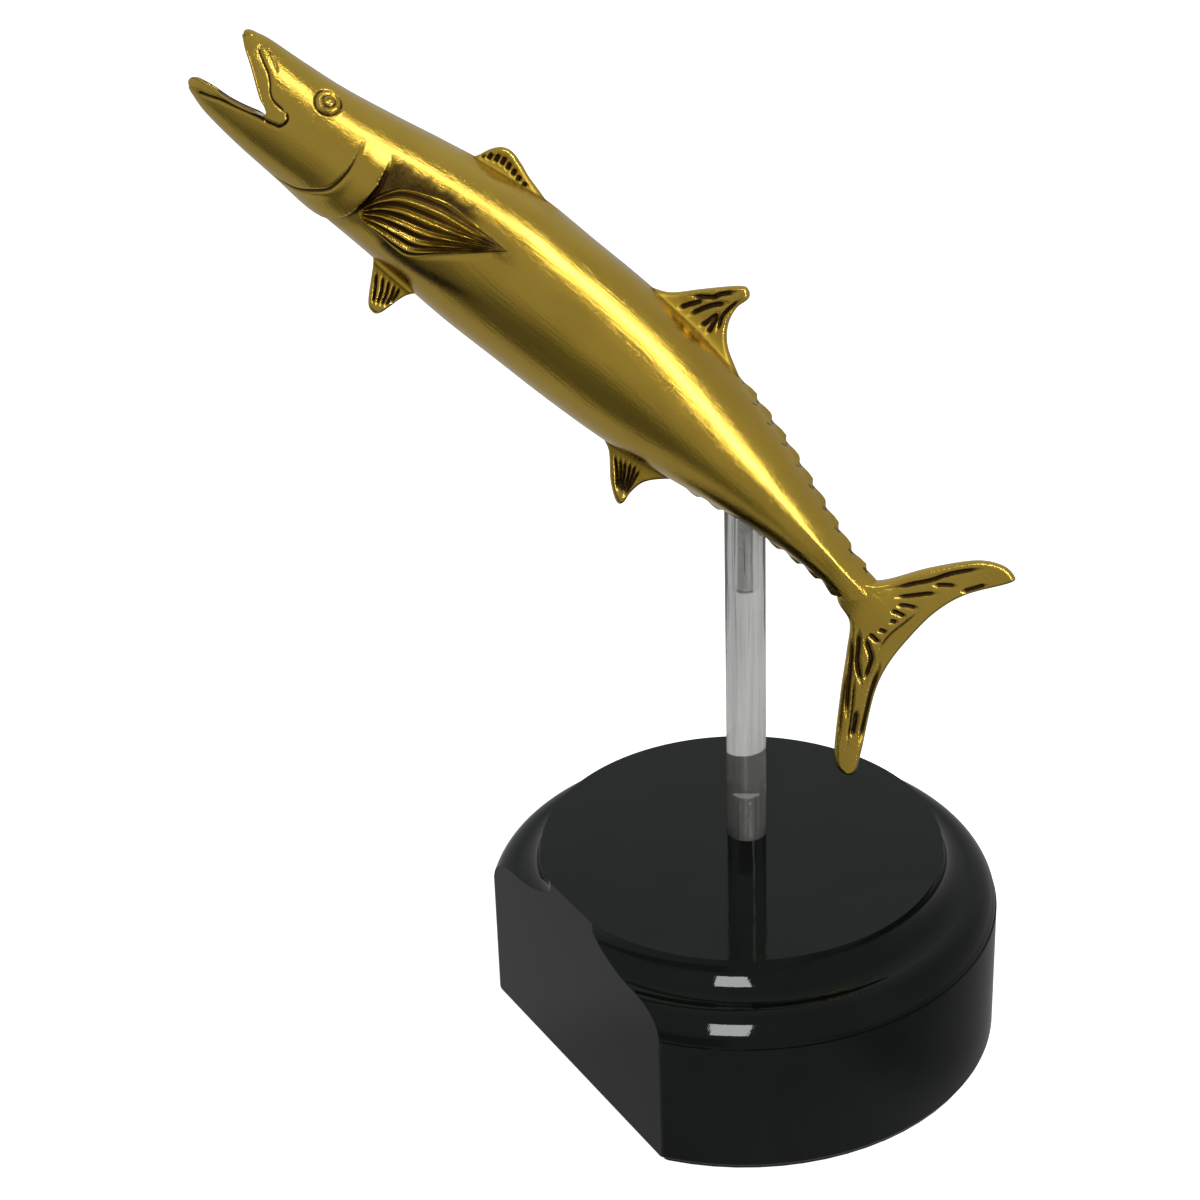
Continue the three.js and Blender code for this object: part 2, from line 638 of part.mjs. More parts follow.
const trophy = new THREE.Group();
const pose = fishPose();
pose.add(node("fish_casting", fishCasting(pose), GOLD));
trophy.add(
  node("felt_pad", feltPad(), BLACK_FELT),
  node("base_block", baseBlock(), BLACK_LACQUER),
  node("base_screw", baseScrew(), STEEL.clone()),
  node("base_washer", baseWasher(), STEEL.clone()),
  node("clear_rod", clearRod(), CLEAR_ACRYLIC),
  node("fish_stud", fishStud(), STEEL),
  pose,
);

export default trophy;
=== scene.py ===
"""Fishing trophy: a cast gold fish leaps from a clear rod over a black lacquered base.

Lengths in the fish's own tables are in millimetres in the frame of the casting: X to the nose, Y to the
left flank, Z to the back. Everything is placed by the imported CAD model.
"""

import math

import bpy
import numpy as np
from mathutils import Matrix, Vector
from mathutils.geometry import delaunay_2d_cdt


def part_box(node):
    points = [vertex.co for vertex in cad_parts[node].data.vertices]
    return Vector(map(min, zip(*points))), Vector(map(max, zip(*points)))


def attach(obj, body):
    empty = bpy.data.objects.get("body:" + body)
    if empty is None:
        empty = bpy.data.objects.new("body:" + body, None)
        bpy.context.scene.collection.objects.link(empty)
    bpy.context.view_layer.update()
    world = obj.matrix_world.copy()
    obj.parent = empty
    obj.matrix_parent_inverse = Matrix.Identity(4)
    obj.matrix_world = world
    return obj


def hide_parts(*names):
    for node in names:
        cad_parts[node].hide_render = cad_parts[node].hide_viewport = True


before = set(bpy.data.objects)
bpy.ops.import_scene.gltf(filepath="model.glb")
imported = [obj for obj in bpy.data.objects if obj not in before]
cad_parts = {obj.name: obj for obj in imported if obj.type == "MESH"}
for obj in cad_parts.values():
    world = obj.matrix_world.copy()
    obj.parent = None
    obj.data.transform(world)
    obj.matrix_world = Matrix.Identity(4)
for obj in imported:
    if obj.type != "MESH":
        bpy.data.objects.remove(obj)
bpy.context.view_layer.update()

bl_info = {
    "name": "Fishing Trophy",
    "version": (1, 0, 0),
    "blender": (4, 5, 0),
    "location": "3D View > Sidebar > Trophy",
    "description": "Models a cast fish on a clear rod and a lacquered base",
    "category": "Add Mesh",
}

MM = 0.001

# Where the rod stands and how the fish is turned on it
ROD_LOW, ROD_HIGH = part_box("clear_rod")
ROD_AXIS = (ROD_LOW + ROD_HIGH) / 2
ROD_RADIUS = (ROD_HIGH.x - ROD_LOW.x) / 2
FISH_ABOVE_ROD = 6 * MM
FISH_PLACE = Vector((ROD_AXIS.x, ROD_AXIS.y, ROD_HIGH.z + FISH_ABOVE_ROD))
FISH_HEADING, FISH_PITCH, FISH_ROLL = (math.radians(angle) for angle in (225, 40, 15))
FISH_TURN = (
    Matrix.Rotation(FISH_HEADING, 4, "Z")
    @ Matrix.Rotation(-FISH_PITCH, 4, "Y")
    @ Matrix.Rotation(FISH_ROLL, 4, "X")
)
FISH_POSE = Matrix.Translation(FISH_PLACE) @ FISH_TURN @ Matrix.Scale(MM, 4)

# Body stations: place along X, height of the middle, shares of the full half depth and half width, and
# how far the back leans to the rear
FULL_DEPTH = 18.5
FULL_WIDTH = 16.3
STATIONS = np.array([
    (156.2, -6, 0.545, 0.185, 1.6),
    (154.6, -6.1, 0.575, 0.27, 1.3),
    (150.5, -6.3, 0.628, 0.39, 0.5),
    (141, -6.2, 0.675, 0.55, 0),
    (130, -5.5, 0.72, 0.67, 0),
    (118, -4, 0.78, 0.775, 0),
    (105, -2.3, 0.86, 0.865, 0),
    (92, -0.9, 0.94, 0.94, 0),
    (78, 0.1, 1, 1, 0),
    (63, 0.6, 0.995, 1, 0),
    (47, 1.1, 0.985, 0.98, 0),
    (30, 1.5, 0.93, 0.92, 0),
    (14, 1.7, 0.79, 0.8, 0),
    (-1, 1.2, 0.623, 0.645, 0),
    (-14, 0, 0.463, 0.49, 0),
    (-25, -1.5, 0.34, 0.355, 0),
    (-34, -3, 0.265, 0.265, 0),
    (-42, -4.4, 0.281, 0.17, 0),
    (-47, -5, 0.2, 0.11, 0),
])

# Lines on the body, as places along X and degrees round it: 90 is the back, 0 the flank, -90 the belly
MAXILLA = [
    (151.6, 60), (150.4, 51), (147.7, 41.5), (145.4, 35), (143.5, 27), (141.9, 18.5), (140.2, 13.6),
    (137.8, 12.4), (136, 11.5),
]
MAXILLA_FLAP = [(136, 11.5), (135, 8), (134.9, 1.5), (135.5, -4), (137, -6.4), (138.7, -9)]
MAXILLA_CREASE = [(149.8, 66), (147.8, 57), (145.2, 48), (143.4, 39)]
JAW_LINE = [(154.5, -52), (150.5, -32), (146.3, -21), (142, -12.5), (138.4, -8)]
CHEEK_LINE = [
    (118.6, 35), (117.6, 18), (116.9, -2), (117.6, -23), (120.6, -40), (123.9, -56), (129.1, -70),
    (134, -80),
]
GILL_EDGE = [
    (112.2, 36), (111.2, 31), (110.1, 15), (109.4, 2), (109.7, -19), (110.9, -39), (114.7, -63),
    (119.5, -80), (121, -90),
]
EYE_PLACE = (130.4, 49)

# Edges of the open mouth in the middle plane, as x and z, and how much they rise towards the left flank
MOUTH_UPPER = [
    (140.3, -7.7), (143.8, -5.6), (148.8, -2.2), (152.8, 0.2), (154.6, 1.5), (156.4, 2.5), (166, 6),
]
MOUTH_LOWER = [
    (140.7, -9.5), (145, -10.9), (149.3, -11.9), (153.8, -12.3), (157, -12.9), (158.6, -13.5), (166, -17),
]
MOUTH_CORNER = [(139.8, -8), (139.6, -8.6), (140, -9.2)]
MOUTH_TILT = 0.175

# Hollow of the mouth: its ends along X, and the thickness of the cheeks beside it
HOLLOW_REAR, HOLLOW_FRONT = 142, 155.6
CHEEK_WALL = 2.4
LIP_RADIUS = 0.32

# Rounded tips of the upper and the lower jaw: middle and half sizes
JAW_TIPS = [((153, 0, 2.9), (2.9, 2, 1.55)), ((155.5, 0, -14.35), (3.4, 2.2, 1.9))]

# Edges of the folded pectoral fin, and the streak of painted shade under it, as places along X and degrees
# round
PECTORAL_UPPER = [(109.2, -22), (108.6, -8), (107, 5), (103.9, 17), (95.5, 25), (88.3, 24), (77.3, 21.5)]
PECTORAL_LOWER = [
    (109.2, -22), (106, -27), (102.5, -28.5), (97, -29.5), (93.7, -27), (88.5, -10), (77.3, 21.5),
]
PECTORAL_SHADE_STREAK = [(104, -32), (97, -36), (90, -33), (84, -28), (78, -24), (70, -23), (62, -23)]

# Rows of finlets: front and rear end along X, how many, and whether on the back (1) or the belly (-1)
FINLET_ROWS = [(15, -38, 9, 1), (9, -37, 8, -1)]

# Fins: places along X and how far out of the skin. Their root is sunk in the body.
FIN_ROOT = 4.0
FIRST_DORSAL = [
    (98.5, -1.5), (96.6, 0.8), (95.2, 3.7), (93.4, 5.4), (90.9, 5.6), (87.5, 4.2), (84, 2.4), (78, 0.2),
    (74, -1.5),
]
FIRST_DORSAL_SLOTS = [
    [(95.7, 0.8), (95.7, 2.4)], [(94.1, 1.1), (94.4, 3.3)], [(92.5, 1.3), (93, 4)],
    [(90.9, 1.4), (91.5, 4.2)], [(89.2, 1.2), (89.8, 3.6)], [(87.4, 0.7), (88, 2.9)],
    [(85.7, 0.3), (86.2, 2)], [(83.8, 0.1), (84.2, 1.3)],
]
SECOND_DORSAL = [
    (50, -1.5), (45.5, 0.2), (41.5, 2.4), (36.8, 7.7), (30.5, 14.6), (28.3, 15.4), (27, 14), (27.6, 10.3),
    (26.4, 6.1), (23, 2.6), (17, 0.3), (12, -1.5),
]
SECOND_DORSAL_GROOVES = [
    [(38.4, 4.2), (35.7, 6.6), (33.6, 8.4), (32.8, 10), (31.1, 12.2), (29.6, 14)],
    [(38.2, 0.5), (36.9, 2.9), (35.5, 5.1), (34.4, 6.7)],
    [(35.2, 0.7), (34, 4), (32.6, 6.7), (30.8, 9), (29.8, 10.3)],
    [(31.6, 0.9), (30.9, 2.8), (30.4, 5), (29.8, 7.2)],
    [(28.9, 0.9), (29.1, 2.6), (29.6, 4.6), (29.7, 6.4)],
]
SECOND_DORSAL_LINE = [(28.3, 13.4), (28.9, 10), (29, 6.8), (27.9, 4.3), (27.4, 2.6)]
ANAL_FIN = [
    (34, -1.5), (30.5, 0.3), (27.5, 2.4), (22.8, 8.2), (18.5, 12), (16.9, 11.5), (17.2, 8.1), (16.4, 4.2),
    (13, 0.8), (9, -1.5),
]
ANAL_GROOVES = [
    [(26.8, 1.2), (23.6, 4.7), (19.4, 10)], [(25.4, 1), (22.4, 4.8), (18.9, 10.2)],
    [(24, 0.9), (21.4, 4.9), (18.5, 10.2)], [(22.6, 0.7), (20.4, 4.8), (18.2, 10)],
    [(21.2, 0.6), (19.6, 4.6), (18.1, 9.2)],
]
ANAL_LINE = [(19.6, 1.2), (18.7, 5), (17.8, 10.4)]
PELVIC_FIN = [(101, -1.5), (99, 0.4), (94.6, 7.4), (92.4, 9), (90.4, 8), (88.6, 1.5), (86.5, -1.5)]
PELVIC_GROOVES = [
    [(97.6, 0.6), (94.9, 4.5), (92.7, 8)], [(95.8, 0.4), (93.4, 4), (92, 7.6)],
    [(94.1, 0.3), (92.2, 3.6), (91.2, 7.2)], [(92.4, 0.2), (91, 3.2), (90.5, 6.6)],
    [(90.8, 0.2), (90.2, 2.6), (89.9, 5)],
]

# How far each pelvic fin is off the middle, in millimetres, and how far it leans out, in degrees
PELVIC_SIDE = 4.5
PELVIC_SPREAD = 12

# Tail outline and lines: places along X and heights
TAIL_FIN = [
    (-36, -1.5), (-41.9, 1.2), (-48.5, 11.4), (-55.5, 20.2), (-61, 23.6), (-65, 23.6), (-65.4, 21.6),
    (-59.6, 12.5), (-57.2, 4.8), (-56.8, -3.5), (-57.6, -13), (-60.5, -21.5), (-68.2, -34.9),
    (-70.2, -39.6), (-68, -41.4), (-63.4, -39.2), (-54.1, -26.6), (-48, -17.5), (-43.3, -11.2), (-37, -8.5),
]
TAIL_GROOVES = [
    [(-43.7, 0.5), (-46.4, 4.1), (-48.2, 6.7), (-50.6, 9.9), (-52.9, 14), (-56.8, 18.9), (-59.4, 21.6)],
    [(-51.8, 9.2), (-53.8, 11.1), (-56.3, 13)],
    [(-46.8, 0.8), (-49.5, 3.7), (-52.2, 6.8), (-54.4, 8.8)],
    [(-57.8, 12.2), (-59.5, 14.9), (-61.5, 18.2)],
    [(-48.6, -0.2), (-50.4, 1.2), (-53.1, 2.7)],
    [(-48.4, -2), (-50.4, -1.4), (-52.4, -0.9)],
    [(-50, -4.2), (-51.7, -3.3)],
    [(-49.5, -7.6), (-51.6, -6.9)],
    [(-48.3, -9.9), (-50.3, -10), (-52.2, -10.1)],
    [(-45.4, -10.3), (-47.8, -12.8), (-49.6, -15.1), (-51.4, -17.4), (-54.5, -19.8), (-56.4, -21.4)],
    [(-47.7, -10.5), (-50.4, -12.4), (-53.2, -14.3), (-54.9, -17.7), (-56.2, -20.2)],
    [(-44.6, -12), (-48.1, -15.7), (-51.2, -19.7), (-53.3, -22.6), (-56.7, -27), (-60, -30.6)],
    [
        (-54.9, -13.3), (-56.4, -15.4), (-57.6, -17.9), (-59.3, -21.4), (-61.6, -25.4), (-64, -29.6),
        (-66.6, -33.6),
    ],
    [(-59.1, -26.3), (-61.3, -29.3), (-63.6, -33)],
]
TAIL_FINE_LINES = [
    [(-49.5, -17.9), (-53.4, -24.2), (-57.5, -30), (-62.2, -36.3)],
    [(-52.5, -19.5), (-56.5, -24.6), (-60.5, -30), (-64.2, -35.6)],
]
TAIL_BAND = [(-53.8, 3.2), (-53.2, -1.2), (-52.5, -6.2), (-52.7, -9.6), (-53.6, -12.8)]

# How finely the meshes are divided: points round the body, and millimetres between points on a fin
BODY_SIDES = 244
LEAF_SPACING = 0.27

# Base and fasteners: radii of the rounded foot, the screw's recess and the rod's bore, and the thread
BASE_FOOT = 1 * MM
SCREW_RECESS = 9 * MM
ROD_BORE = 2.06 * MM
THREAD_RADIUS = 2 * MM
THREAD_PITCH = 0.7 * MM
THREAD_DEPTH = 0.28 * MM

# Camera: place, view direction, roll in degrees, lens in millimetres
CAMERA_PLACE = Vector((0.5123, -0.3286, 0.4594))
CAMERA_VIEW = Vector((-0.7620, 0.4311, -0.4833))
CAMERA_ROLL = -1.96
CAMERA_LENS = 86.0

# Lamps: name, one end, other end, width in metres, power in watts, tint, and whether it lights the base
# alone (INCLUDE) or all but the base (EXCLUDE)
LAMPS = [
    ("window", (0.905, -0.05, 0.02), (0.40, 0.26, 0.93), 0.05, 3.4, (1.0, 0.99, 0.96), "EXCLUDE"),
    ("high_window", (0.59, 0.22, 1.03), (0.31, 0.075, 1.21), 0.05, 0.95, (1.0, 0.99, 0.96), "EXCLUDE"),
    ("window_bar", (0.31, 0.09, 1.21), (0.345, -0.30, 1.195), 0.05, 0.9, (1.0, 0.99, 0.96), "EXCLUDE"),
    ("low_window", (1.05, -0.82, 0.31), (0.68, -0.53, 1.06), 0.34, 27.0, (1.0, 0.9, 0.98), "INCLUDE"),
]

# What the polished surfaces mirror: the room, its far wall, the pale table and its dark patches
ROOM = (0.50, 0.50, 0.49)
FAR_WALL = (0.62, 0.64, 0.62)
TABLE_PALE = (0.46, 0.46, 0.46)
TABLE_SHADE = (0.145, 0.15, 0.145)


# Small tools


def colour_prop(name, description, default):
    return bpy.props.FloatVectorProperty(
        name=name, description=description, subtype="COLOR", size=3, min=0, max=1, default=default
    )


def length_prop(name, description, default):
    return bpy.props.FloatProperty(
        name=name, description=description, subtype="DISTANCE", unit="LENGTH", min=0, max=1,
        default=default, precision=5,
    )


def smooth_step(value, low, high):
    """0 at low and 1 at high, softly between. Low may be the greater of the two."""
    share = np.clip((value - low) / (high - low), 0, 1)
    return share * share * (3 - 2 * share)


def bell(value, width):
    """1 at zero, and fades to nothing at about twice the width."""
    return np.exp(-((value / width) ** 2))


def smooth_line(points, steps=8):
    """More points on a smooth curve through the given ones."""
    points = np.asarray(points, float)
    padded = np.vstack([2 * points[0] - points[1], points, 2 * points[-1] - points[-2]])
    share = np.linspace(0, 1, (len(points) - 1) * steps + 1) * (len(points) - 1)
    index = np.clip(share.astype(int), 0, len(points) - 2)
    part = (share - index)[:, None]
    before, start, end, after = (padded[index + k] for k in range(4))
    leave, arrive = (end - before) / 2, (after - start) / 2
    cubic = 2 * start - 2 * end + leave + arrive
    square = -3 * start + 3 * end - 2 * leave - arrive
    return ((cubic * part + square) * part + leave) * part + start


def closed(line):
    """A line that ends where it starts."""
    return np.vstack([line, line[:1]])


def arc(centre, radius_x, radius_z, start, stop, steps):
    """Points on an arc between two angles in degrees."""
    angles = np.radians(np.linspace(start, stop, steps + 1))
    return [(centre[0] + radius_x * math.cos(a), centre[1] + radius_z * math.sin(a)) for a in angles]


def toward(azimuth, elevation):
    """A direction from two angles in degrees."""
    around, up = math.radians(azimuth), math.radians(elevation)
    return Vector((math.cos(around) * math.cos(up), math.sin(around) * math.cos(up), math.sin(up)))


def take_up(piece):
    """Makes a piece the only selected one, and the active one."""
    bpy.ops.object.select_all(action="DESELECT")
    piece.select_set(True)
    bpy.context.view_layer.objects.active = piece


def outward(piece, doubles=1e-7):
    """Merges a closed mesh's double points and turns its faces outwards."""
    take_up(piece)
    bpy.ops.object.mode_set(mode="EDIT")
    bpy.ops.mesh.select_all(action="SELECT")
    bpy.ops.mesh.remove_doubles(threshold=doubles)
    bpy.ops.mesh.normals_make_consistent(inside=False)
    bpy.ops.object.mode_set(mode="OBJECT")


def mesh_piece(name, points, faces, patina_and_shade=None):
    """A new closed object from points in metres and lists of corners."""
    mesh = bpy.data.meshes.new(name)
    mesh.from_pydata([tuple(p) for p in points], [], faces)
    mesh.validate()
    piece = bpy.data.objects.new(name, mesh)
    bpy.context.scene.collection.objects.link(piece)
    if patina_and_shade is not None:
        store(piece, "patina_and_shade", patina_and_shade)
    outward(piece)
    return piece


def store(piece, label, values):
    """Gives each point of a piece a number that its material reads."""
    layer = piece.data.attributes.new(label, "FLOAT", "POINT")
    layer.data.foreach_set("value", np.asarray(values, np.float32))


def points_of(piece):
    """The points of a piece's mesh, one to a row, in metres."""
    points = np.zeros(len(piece.data.vertices) * 3)
    piece.data.vertices.foreach_get("co", points)
    return points.reshape(-1, 3)


def loft(rings, tips=None):
    """Points and faces of a closed solid through rings of as many points each.

    Its ends are flat, or fans that run to two tips.
    """
    rings = np.asarray(rings)
    count = rings.shape[1]
    points = rings.reshape(-1, 3)
    last = len(points) - count
    sides = [(i, (i + 1) % count) for i in range(count)]
    faces = [(r + i, r + j, r + count + j, r + count + i) for r in range(0, last, count) for i, j in sides]
    if tips is None:
        faces += [tuple(range(count)), tuple(range(len(points) - 1, last - 1, -1))]
    else:
        for i, j in sides:
            faces += [(len(points), j, i), (len(points) + 1, last + i, last + j)]
        points = np.vstack([points, tips])
    return points, faces


def apply_modifier(piece, kind, settings):
    """Adds a modifier with its settings and applies it."""
    modifier = piece.modifiers.new("finish", kind)
    for key, value in settings.items():
        setattr(modifier, key, value)
    take_up(piece)
    bpy.ops.object.modifier_apply(modifier=modifier.name)


def carve(piece, cutter, operation="DIFFERENCE"):
    """Cuts with another closed mesh, which is used up."""
    apply_modifier(piece, "BOOLEAN", {"operation": operation, "solver": "MANIFOLD", "object": cutter})
    bpy.data.objects.remove(cutter)
    if not piece.data.polygons:
        raise RuntimeError(f"nothing is left of {piece.name}")


def soften(piece, width, segments=2, angle=30):
    """Rounds the edges that turn by more than an angle in degrees."""
    apply_modifier(piece, "BEVEL", {
        "width": width, "segments": segments, "limit_method": "ANGLE", "angle_limit": math.radians(angle),
    })


def dress(piece, material):
    """Gives a piece one material, by its name."""
    piece.data.materials.clear()
    piece.data.materials.append(bpy.data.materials[material])


def finish_piece(piece, material, node, angle=30, flat_faces=False):
    """Smooths a piece's faces, dresses it and gives it its place in the frame."""
    take_up(piece)
    bpy.ops.object.shade_smooth_by_angle(angle=math.radians(angle))
    if flat_faces:
        apply_modifier(piece, "WEIGHTED_NORMAL", {"weight": 100, "keep_sharp": True})
    dress(piece, material)
    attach(piece, "root")
    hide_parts(node)


# Materials


class Number:
    """A node's number socket. A sum or product of Numbers adds its Math nodes."""

    def __init__(self, finish, socket):
        self.finish = finish
        self.socket = socket

    def __add__(self, other):
        return self.finish.maths("ADD", self, other)

    def __sub__(self, other):
        return self.finish.maths("SUBTRACT", self, other)

    def __rsub__(self, other):
        return self.finish.maths("SUBTRACT", other, self)

    def __mul__(self, other):
        return self.finish.maths("MULTIPLY", self, other)

    __radd__ = __add__
    __rmul__ = __mul__


class Finish:
    """One node tree, of a material or of the world."""

    def __init__(self, owner):
        owner.use_nodes = True
        self.owner = owner
        self.tree = owner.node_tree
        self.tree.nodes.clear()

    def node(self, kind, settings=None, sockets=None, out=0):
        """Adds a node: its settings first, then the values or links of its sockets."""
        made = self.tree.nodes.new(kind)
        for key, value in (settings or {}).items():
            setattr(made, key, value)
        for key, value in (sockets or {}).items():
            value = value.socket if isinstance(value, Number) else value
            if isinstance(value, bpy.types.NodeSocket):
                self.tree.links.new(value, made.inputs[key])
            else:
                made.inputs[key].default_value = value
        if not made.outputs:
            return made
        socket = made.outputs[out]
        return Number(self, socket) if socket.type == "VALUE" else socket

    def maths(self, operation, first, second):
        """A Math node on two numbers."""
        return self.node("ShaderNodeMath", {"operation": operation}, {0: first, 1: second})

    def vector(self, operation, first, second=(0, 0, 0), out=0):
        """A Vector Math node on one vector or two."""
        return self.node("ShaderNodeVectorMath", {"operation": operation}, {0: first, 1: second}, out)

    def dot(self, vector, direction):
        return self.vector("DOT_PRODUCT", vector, direction, "Value")

    def fade(self, value, low, high):
        """0 below low and 1 above high, softly between."""
        return self.node(
            "ShaderNodeMapRange", {"interpolation_type": "SMOOTHSTEP"},
            {"Value": value, "From Min": low, "From Max": high},
        )

    def blend(self, factor, first, second):
        """A colour between two."""
        pair = [c if isinstance(c, bpy.types.NodeSocket) else (*c[:3], 1.0) for c in (first, second)]
        return self.node(
            "ShaderNodeMix", {"data_type": "RGBA"}, {0: factor, 6: pair[0], 7: pair[1]}, out=2
        )

    def attribute(self, name):
        return self.node("ShaderNodeAttribute", {"attribute_name": name}, out="Fac")

    def place(self):
        """Places on the trophy, in metres."""
        return self.node("ShaderNodeTexCoord", out="Object")

    def place_from(self, centre, stretch=(1, 1, 1), turn=(0, 0, 0)):
        """Places from a centre, in a turned frame, divided by a stretch along each of its axes."""
        return self.node(
            "ShaderNodeMapping", {"vector_type": "TEXTURE"},
            {"Vector": self.place(), "Location": centre, "Rotation": turn, "Scale": stretch},
        )

    def along_fish(self, length, breadth):
        """Places in the fish's own frame, divided by a length and a breadth in metres."""
        return self.place_from(FISH_PLACE, (length, breadth, breadth), FISH_TURN.to_euler())

    def noise(self, vector, scale, detail=2.0, roughness=0.5):
        return self.node(
            "ShaderNodeTexNoise", {},
            {"Vector": vector, "Scale": scale, "Detail": detail, "Roughness": roughness},
        )

    def bump(self, height, distance):
        return self.node("ShaderNodeBump", {}, {"Height": height, "Distance": distance, "Strength": 1.0})

    def surface(self, sockets):
        """Ends a material with one shader, whose sockets take the given values or links."""
        shader = self.node("ShaderNodeBsdfPrincipled", {}, sockets)
        self.node("ShaderNodeOutputMaterial", {}, {"Surface": shader})


def new_finish(name):
    """A new material's node tree, and the colours that a user may change."""
    return Finish(bpy.data.materials.new(name)), bpy.context.scene.trophy_colours


def gold_finish():
    """Cast metal in satin gold, brushed along the fish, with dark patina in its recesses and painted shade
    at the fin roots, behind the gill and round the pectoral fins.
    """
    finish, colours = new_finish("antique_gold")
    satin = finish.attribute("satin")
    brushed = finish.noise(finish.along_fish(0.012, 0.0006), 1.0, 3.0, 0.6)
    cloudy = finish.noise(finish.along_fish(0.02, 0.012), 1.0)
    grain = finish.noise(finish.place(), 2600.0)
    ragged = finish.noise(finish.place(), 900.0, 3.0, 0.65)
    smudges = finish.fade(finish.noise(finish.along_fish(0.02, 0.0035), 1.0, 3.0, 0.6), 0.6, 0.78)
    # The patina points also carry painted shade, which darkens the gold the same way
    dark = finish.fade(finish.attribute("patina_and_shade") + smudges * 0.2 + (ragged - 0.5) * 0.3, 0.15, 0.9)
    tone = finish.fade(cloudy * 0.75 + brushed * 0.25, 0.3, 0.7)
    gold = finish.blend(tone, colours.gold_deep, colours.gold)
    finish.surface({
        "Base Color": finish.blend(dark, gold, colours.patina_and_shade),
        "Metallic": 1 - dark * 0.08,
        "Roughness": 0.12 + brushed * 0.09 + dark * 0.3 + satin * 0.3,
        "Coat Weight": finish.maths("MAXIMUM", 0.37 - dark * 0.35 - satin * 0.35, 0.02),
        "Coat Roughness": 0.15,
        "Normal": finish.bump(brushed * 0.6 + grain * 0.4, 0.0001),
    })


def lacquer_finish():
    """Black gloss lacquer with a trace of the sanded board under it, and a painted green tint in its
    reflections.
    """
    finish, colours = new_finish("gloss_lacquer")
    cloudy = finish.noise(finish.place(), 45.0, 3.0)
    fine = finish.noise(finish.place(), 900.0)
    finish.surface({
        "Base Color": finish.blend(finish.fade(cloudy, 0.3, 0.7), colours.lacquer, colours.lacquer_pale),
        "Roughness": 0.03 + fine * 0.03,
        "Specular IOR Level": 0.17,
        # Painted reflection colour: a green tint for the greenish room the lacquer mirrors
        "Specular Tint": (0.88, 1.0, 0.9, 1.0),
        "Normal": finish.bump(cloudy * 0.7 + fine * 0.3, 0.00003),
    })


def acrylic_finish():
    """Acrylic with polishing lines, a pale bore and dark streaks under the fish, tinted grey with painted
    shade for the dark room seen through the rod.
    """
    finish, colours = new_finish("polished_acrylic")
    lines = finish.noise(finish.place_from((0, 0, 0), (1, 1, 30)), 900.0)
    streaks = finish.noise(finish.place_from((0, 0, 0), (1, 1, 45)), 1300.0, 1.0)
    under_fish = finish.fade(finish.dot(finish.place(), (0, 0, 1)), ROD_HIGH.z - 0.05, ROD_HIGH.z - 0.015)
    streaked = finish.fade(streaks, 0.64, 0.7) * under_fish
    # The rod's grey is painted shade: it stands for the dark room seen through the clear rod
    clear = finish.blend(finish.fade(lines, 0.4, 0.66), colours.acrylic, colours.acrylic_haze_and_shade)
    clear = finish.blend(finish.attribute("bore"), clear, (1.0, 1.0, 1.0))
    finish.surface({
        "Base Color": finish.blend(streaked, clear, colours.acrylic_streak),
        "Roughness": 0.01 + lines * 0.04,
        "IOR": 1.49,
        "Transmission Weight": 0.8,
        "Normal": finish.bump(lines, 0.00005),
    })


def steel_finish(name, radial):
    """Zinc-plated steel, with turning lines round the rod's axis or a plain satin grain."""
    finish, colours = new_finish(name)
    centred = finish.place_from(ROD_AXIS)
    if radial:
        lines = finish.node(
            "ShaderNodeTexWave", {"wave_type": "RINGS", "rings_direction": "Z"},
            {"Vector": centred, "Scale": 900.0, "Distortion": 2.0, "Detail": 2.0}, out="Fac",
        )
    else:
        lines = finish.noise(centred, 1400.0, 3.0)
    stain_and_shade = finish.fade(finish.noise(finish.place(), 260.0, 3.0), 0.35, 0.75)
    finish.surface({
        "Base Color": finish.blend(stain_and_shade, colours.steel, colours.steel_dull),
        "Metallic": 1.0,
        "Roughness": 0.3 + lines * 0.15,
        "Normal": finish.bump(lines, 0.00002),
    })


def felt_finish():
    """Pressed black felt with loose fibres."""
    finish, colours = new_finish("pressed_felt")
    fibres = finish.noise(finish.place(), 1800.0, 4.0, 0.7)
    tufts = finish.noise(finish.place(), 350.0, 3.0)
    nap = fibres * 0.6 + tufts * 0.4
    finish.surface({
        "Base Color": finish.blend(finish.fade(nap, 0.35, 0.65), colours.felt, colours.felt_pale),
        "Roughness": 0.95,
        "Sheen Weight": 0.3,
        "Normal": finish.bump(nap, 0.0003),
    })


# Fish


def station_table():
    """The body stations on a smooth curve, in millimetres, from the tail to the nose."""
    table = smooth_line(STATIONS, 60)
    table[:, 2] *= FULL_DEPTH
    table[:, 3] *= FULL_WIDTH
    return table[::-1]


SECTIONS = station_table()


def section(x):
    """Height of the middle, half depth, half width and lean of the body at places along X."""
    return [np.interp(x, SECTIONS[:, 0], SECTIONS[:, k]) for k in (1, 2, 3, 4)]


def skin(x, around, out=0.0):
    """Points on the skin, or out of it. Around is in degrees."""
    middle, depth, width, lean = section(x)
    angle = np.radians(around)
    return np.stack([
        x - lean * np.sin(angle),
        (width + out) * np.cos(angle),
        middle + (depth + out) * np.sin(angle),
    ], -1)


def chart(x, around):
    """A flat map of one side of the skin, nearly true to length: place along X and way up from the flank."""
    _, depth, width, _ = section(x)
    return np.stack([x, np.radians(around) * (depth + width) / 2], -1)


def charted(line):
    """A smooth curve through a line on the body, on the flat map."""
    line = smooth_line(line)
    return chart(line[:, 0], line[:, 1])


def from_ridge(x, around, side):
    """How far round the skin a place is from the middle of the back (side 1) or of the belly (-1)."""
    _, depth, width, _ = section(x)
    return np.radians(np.abs(90 - side * around)) * (depth + width) / 2


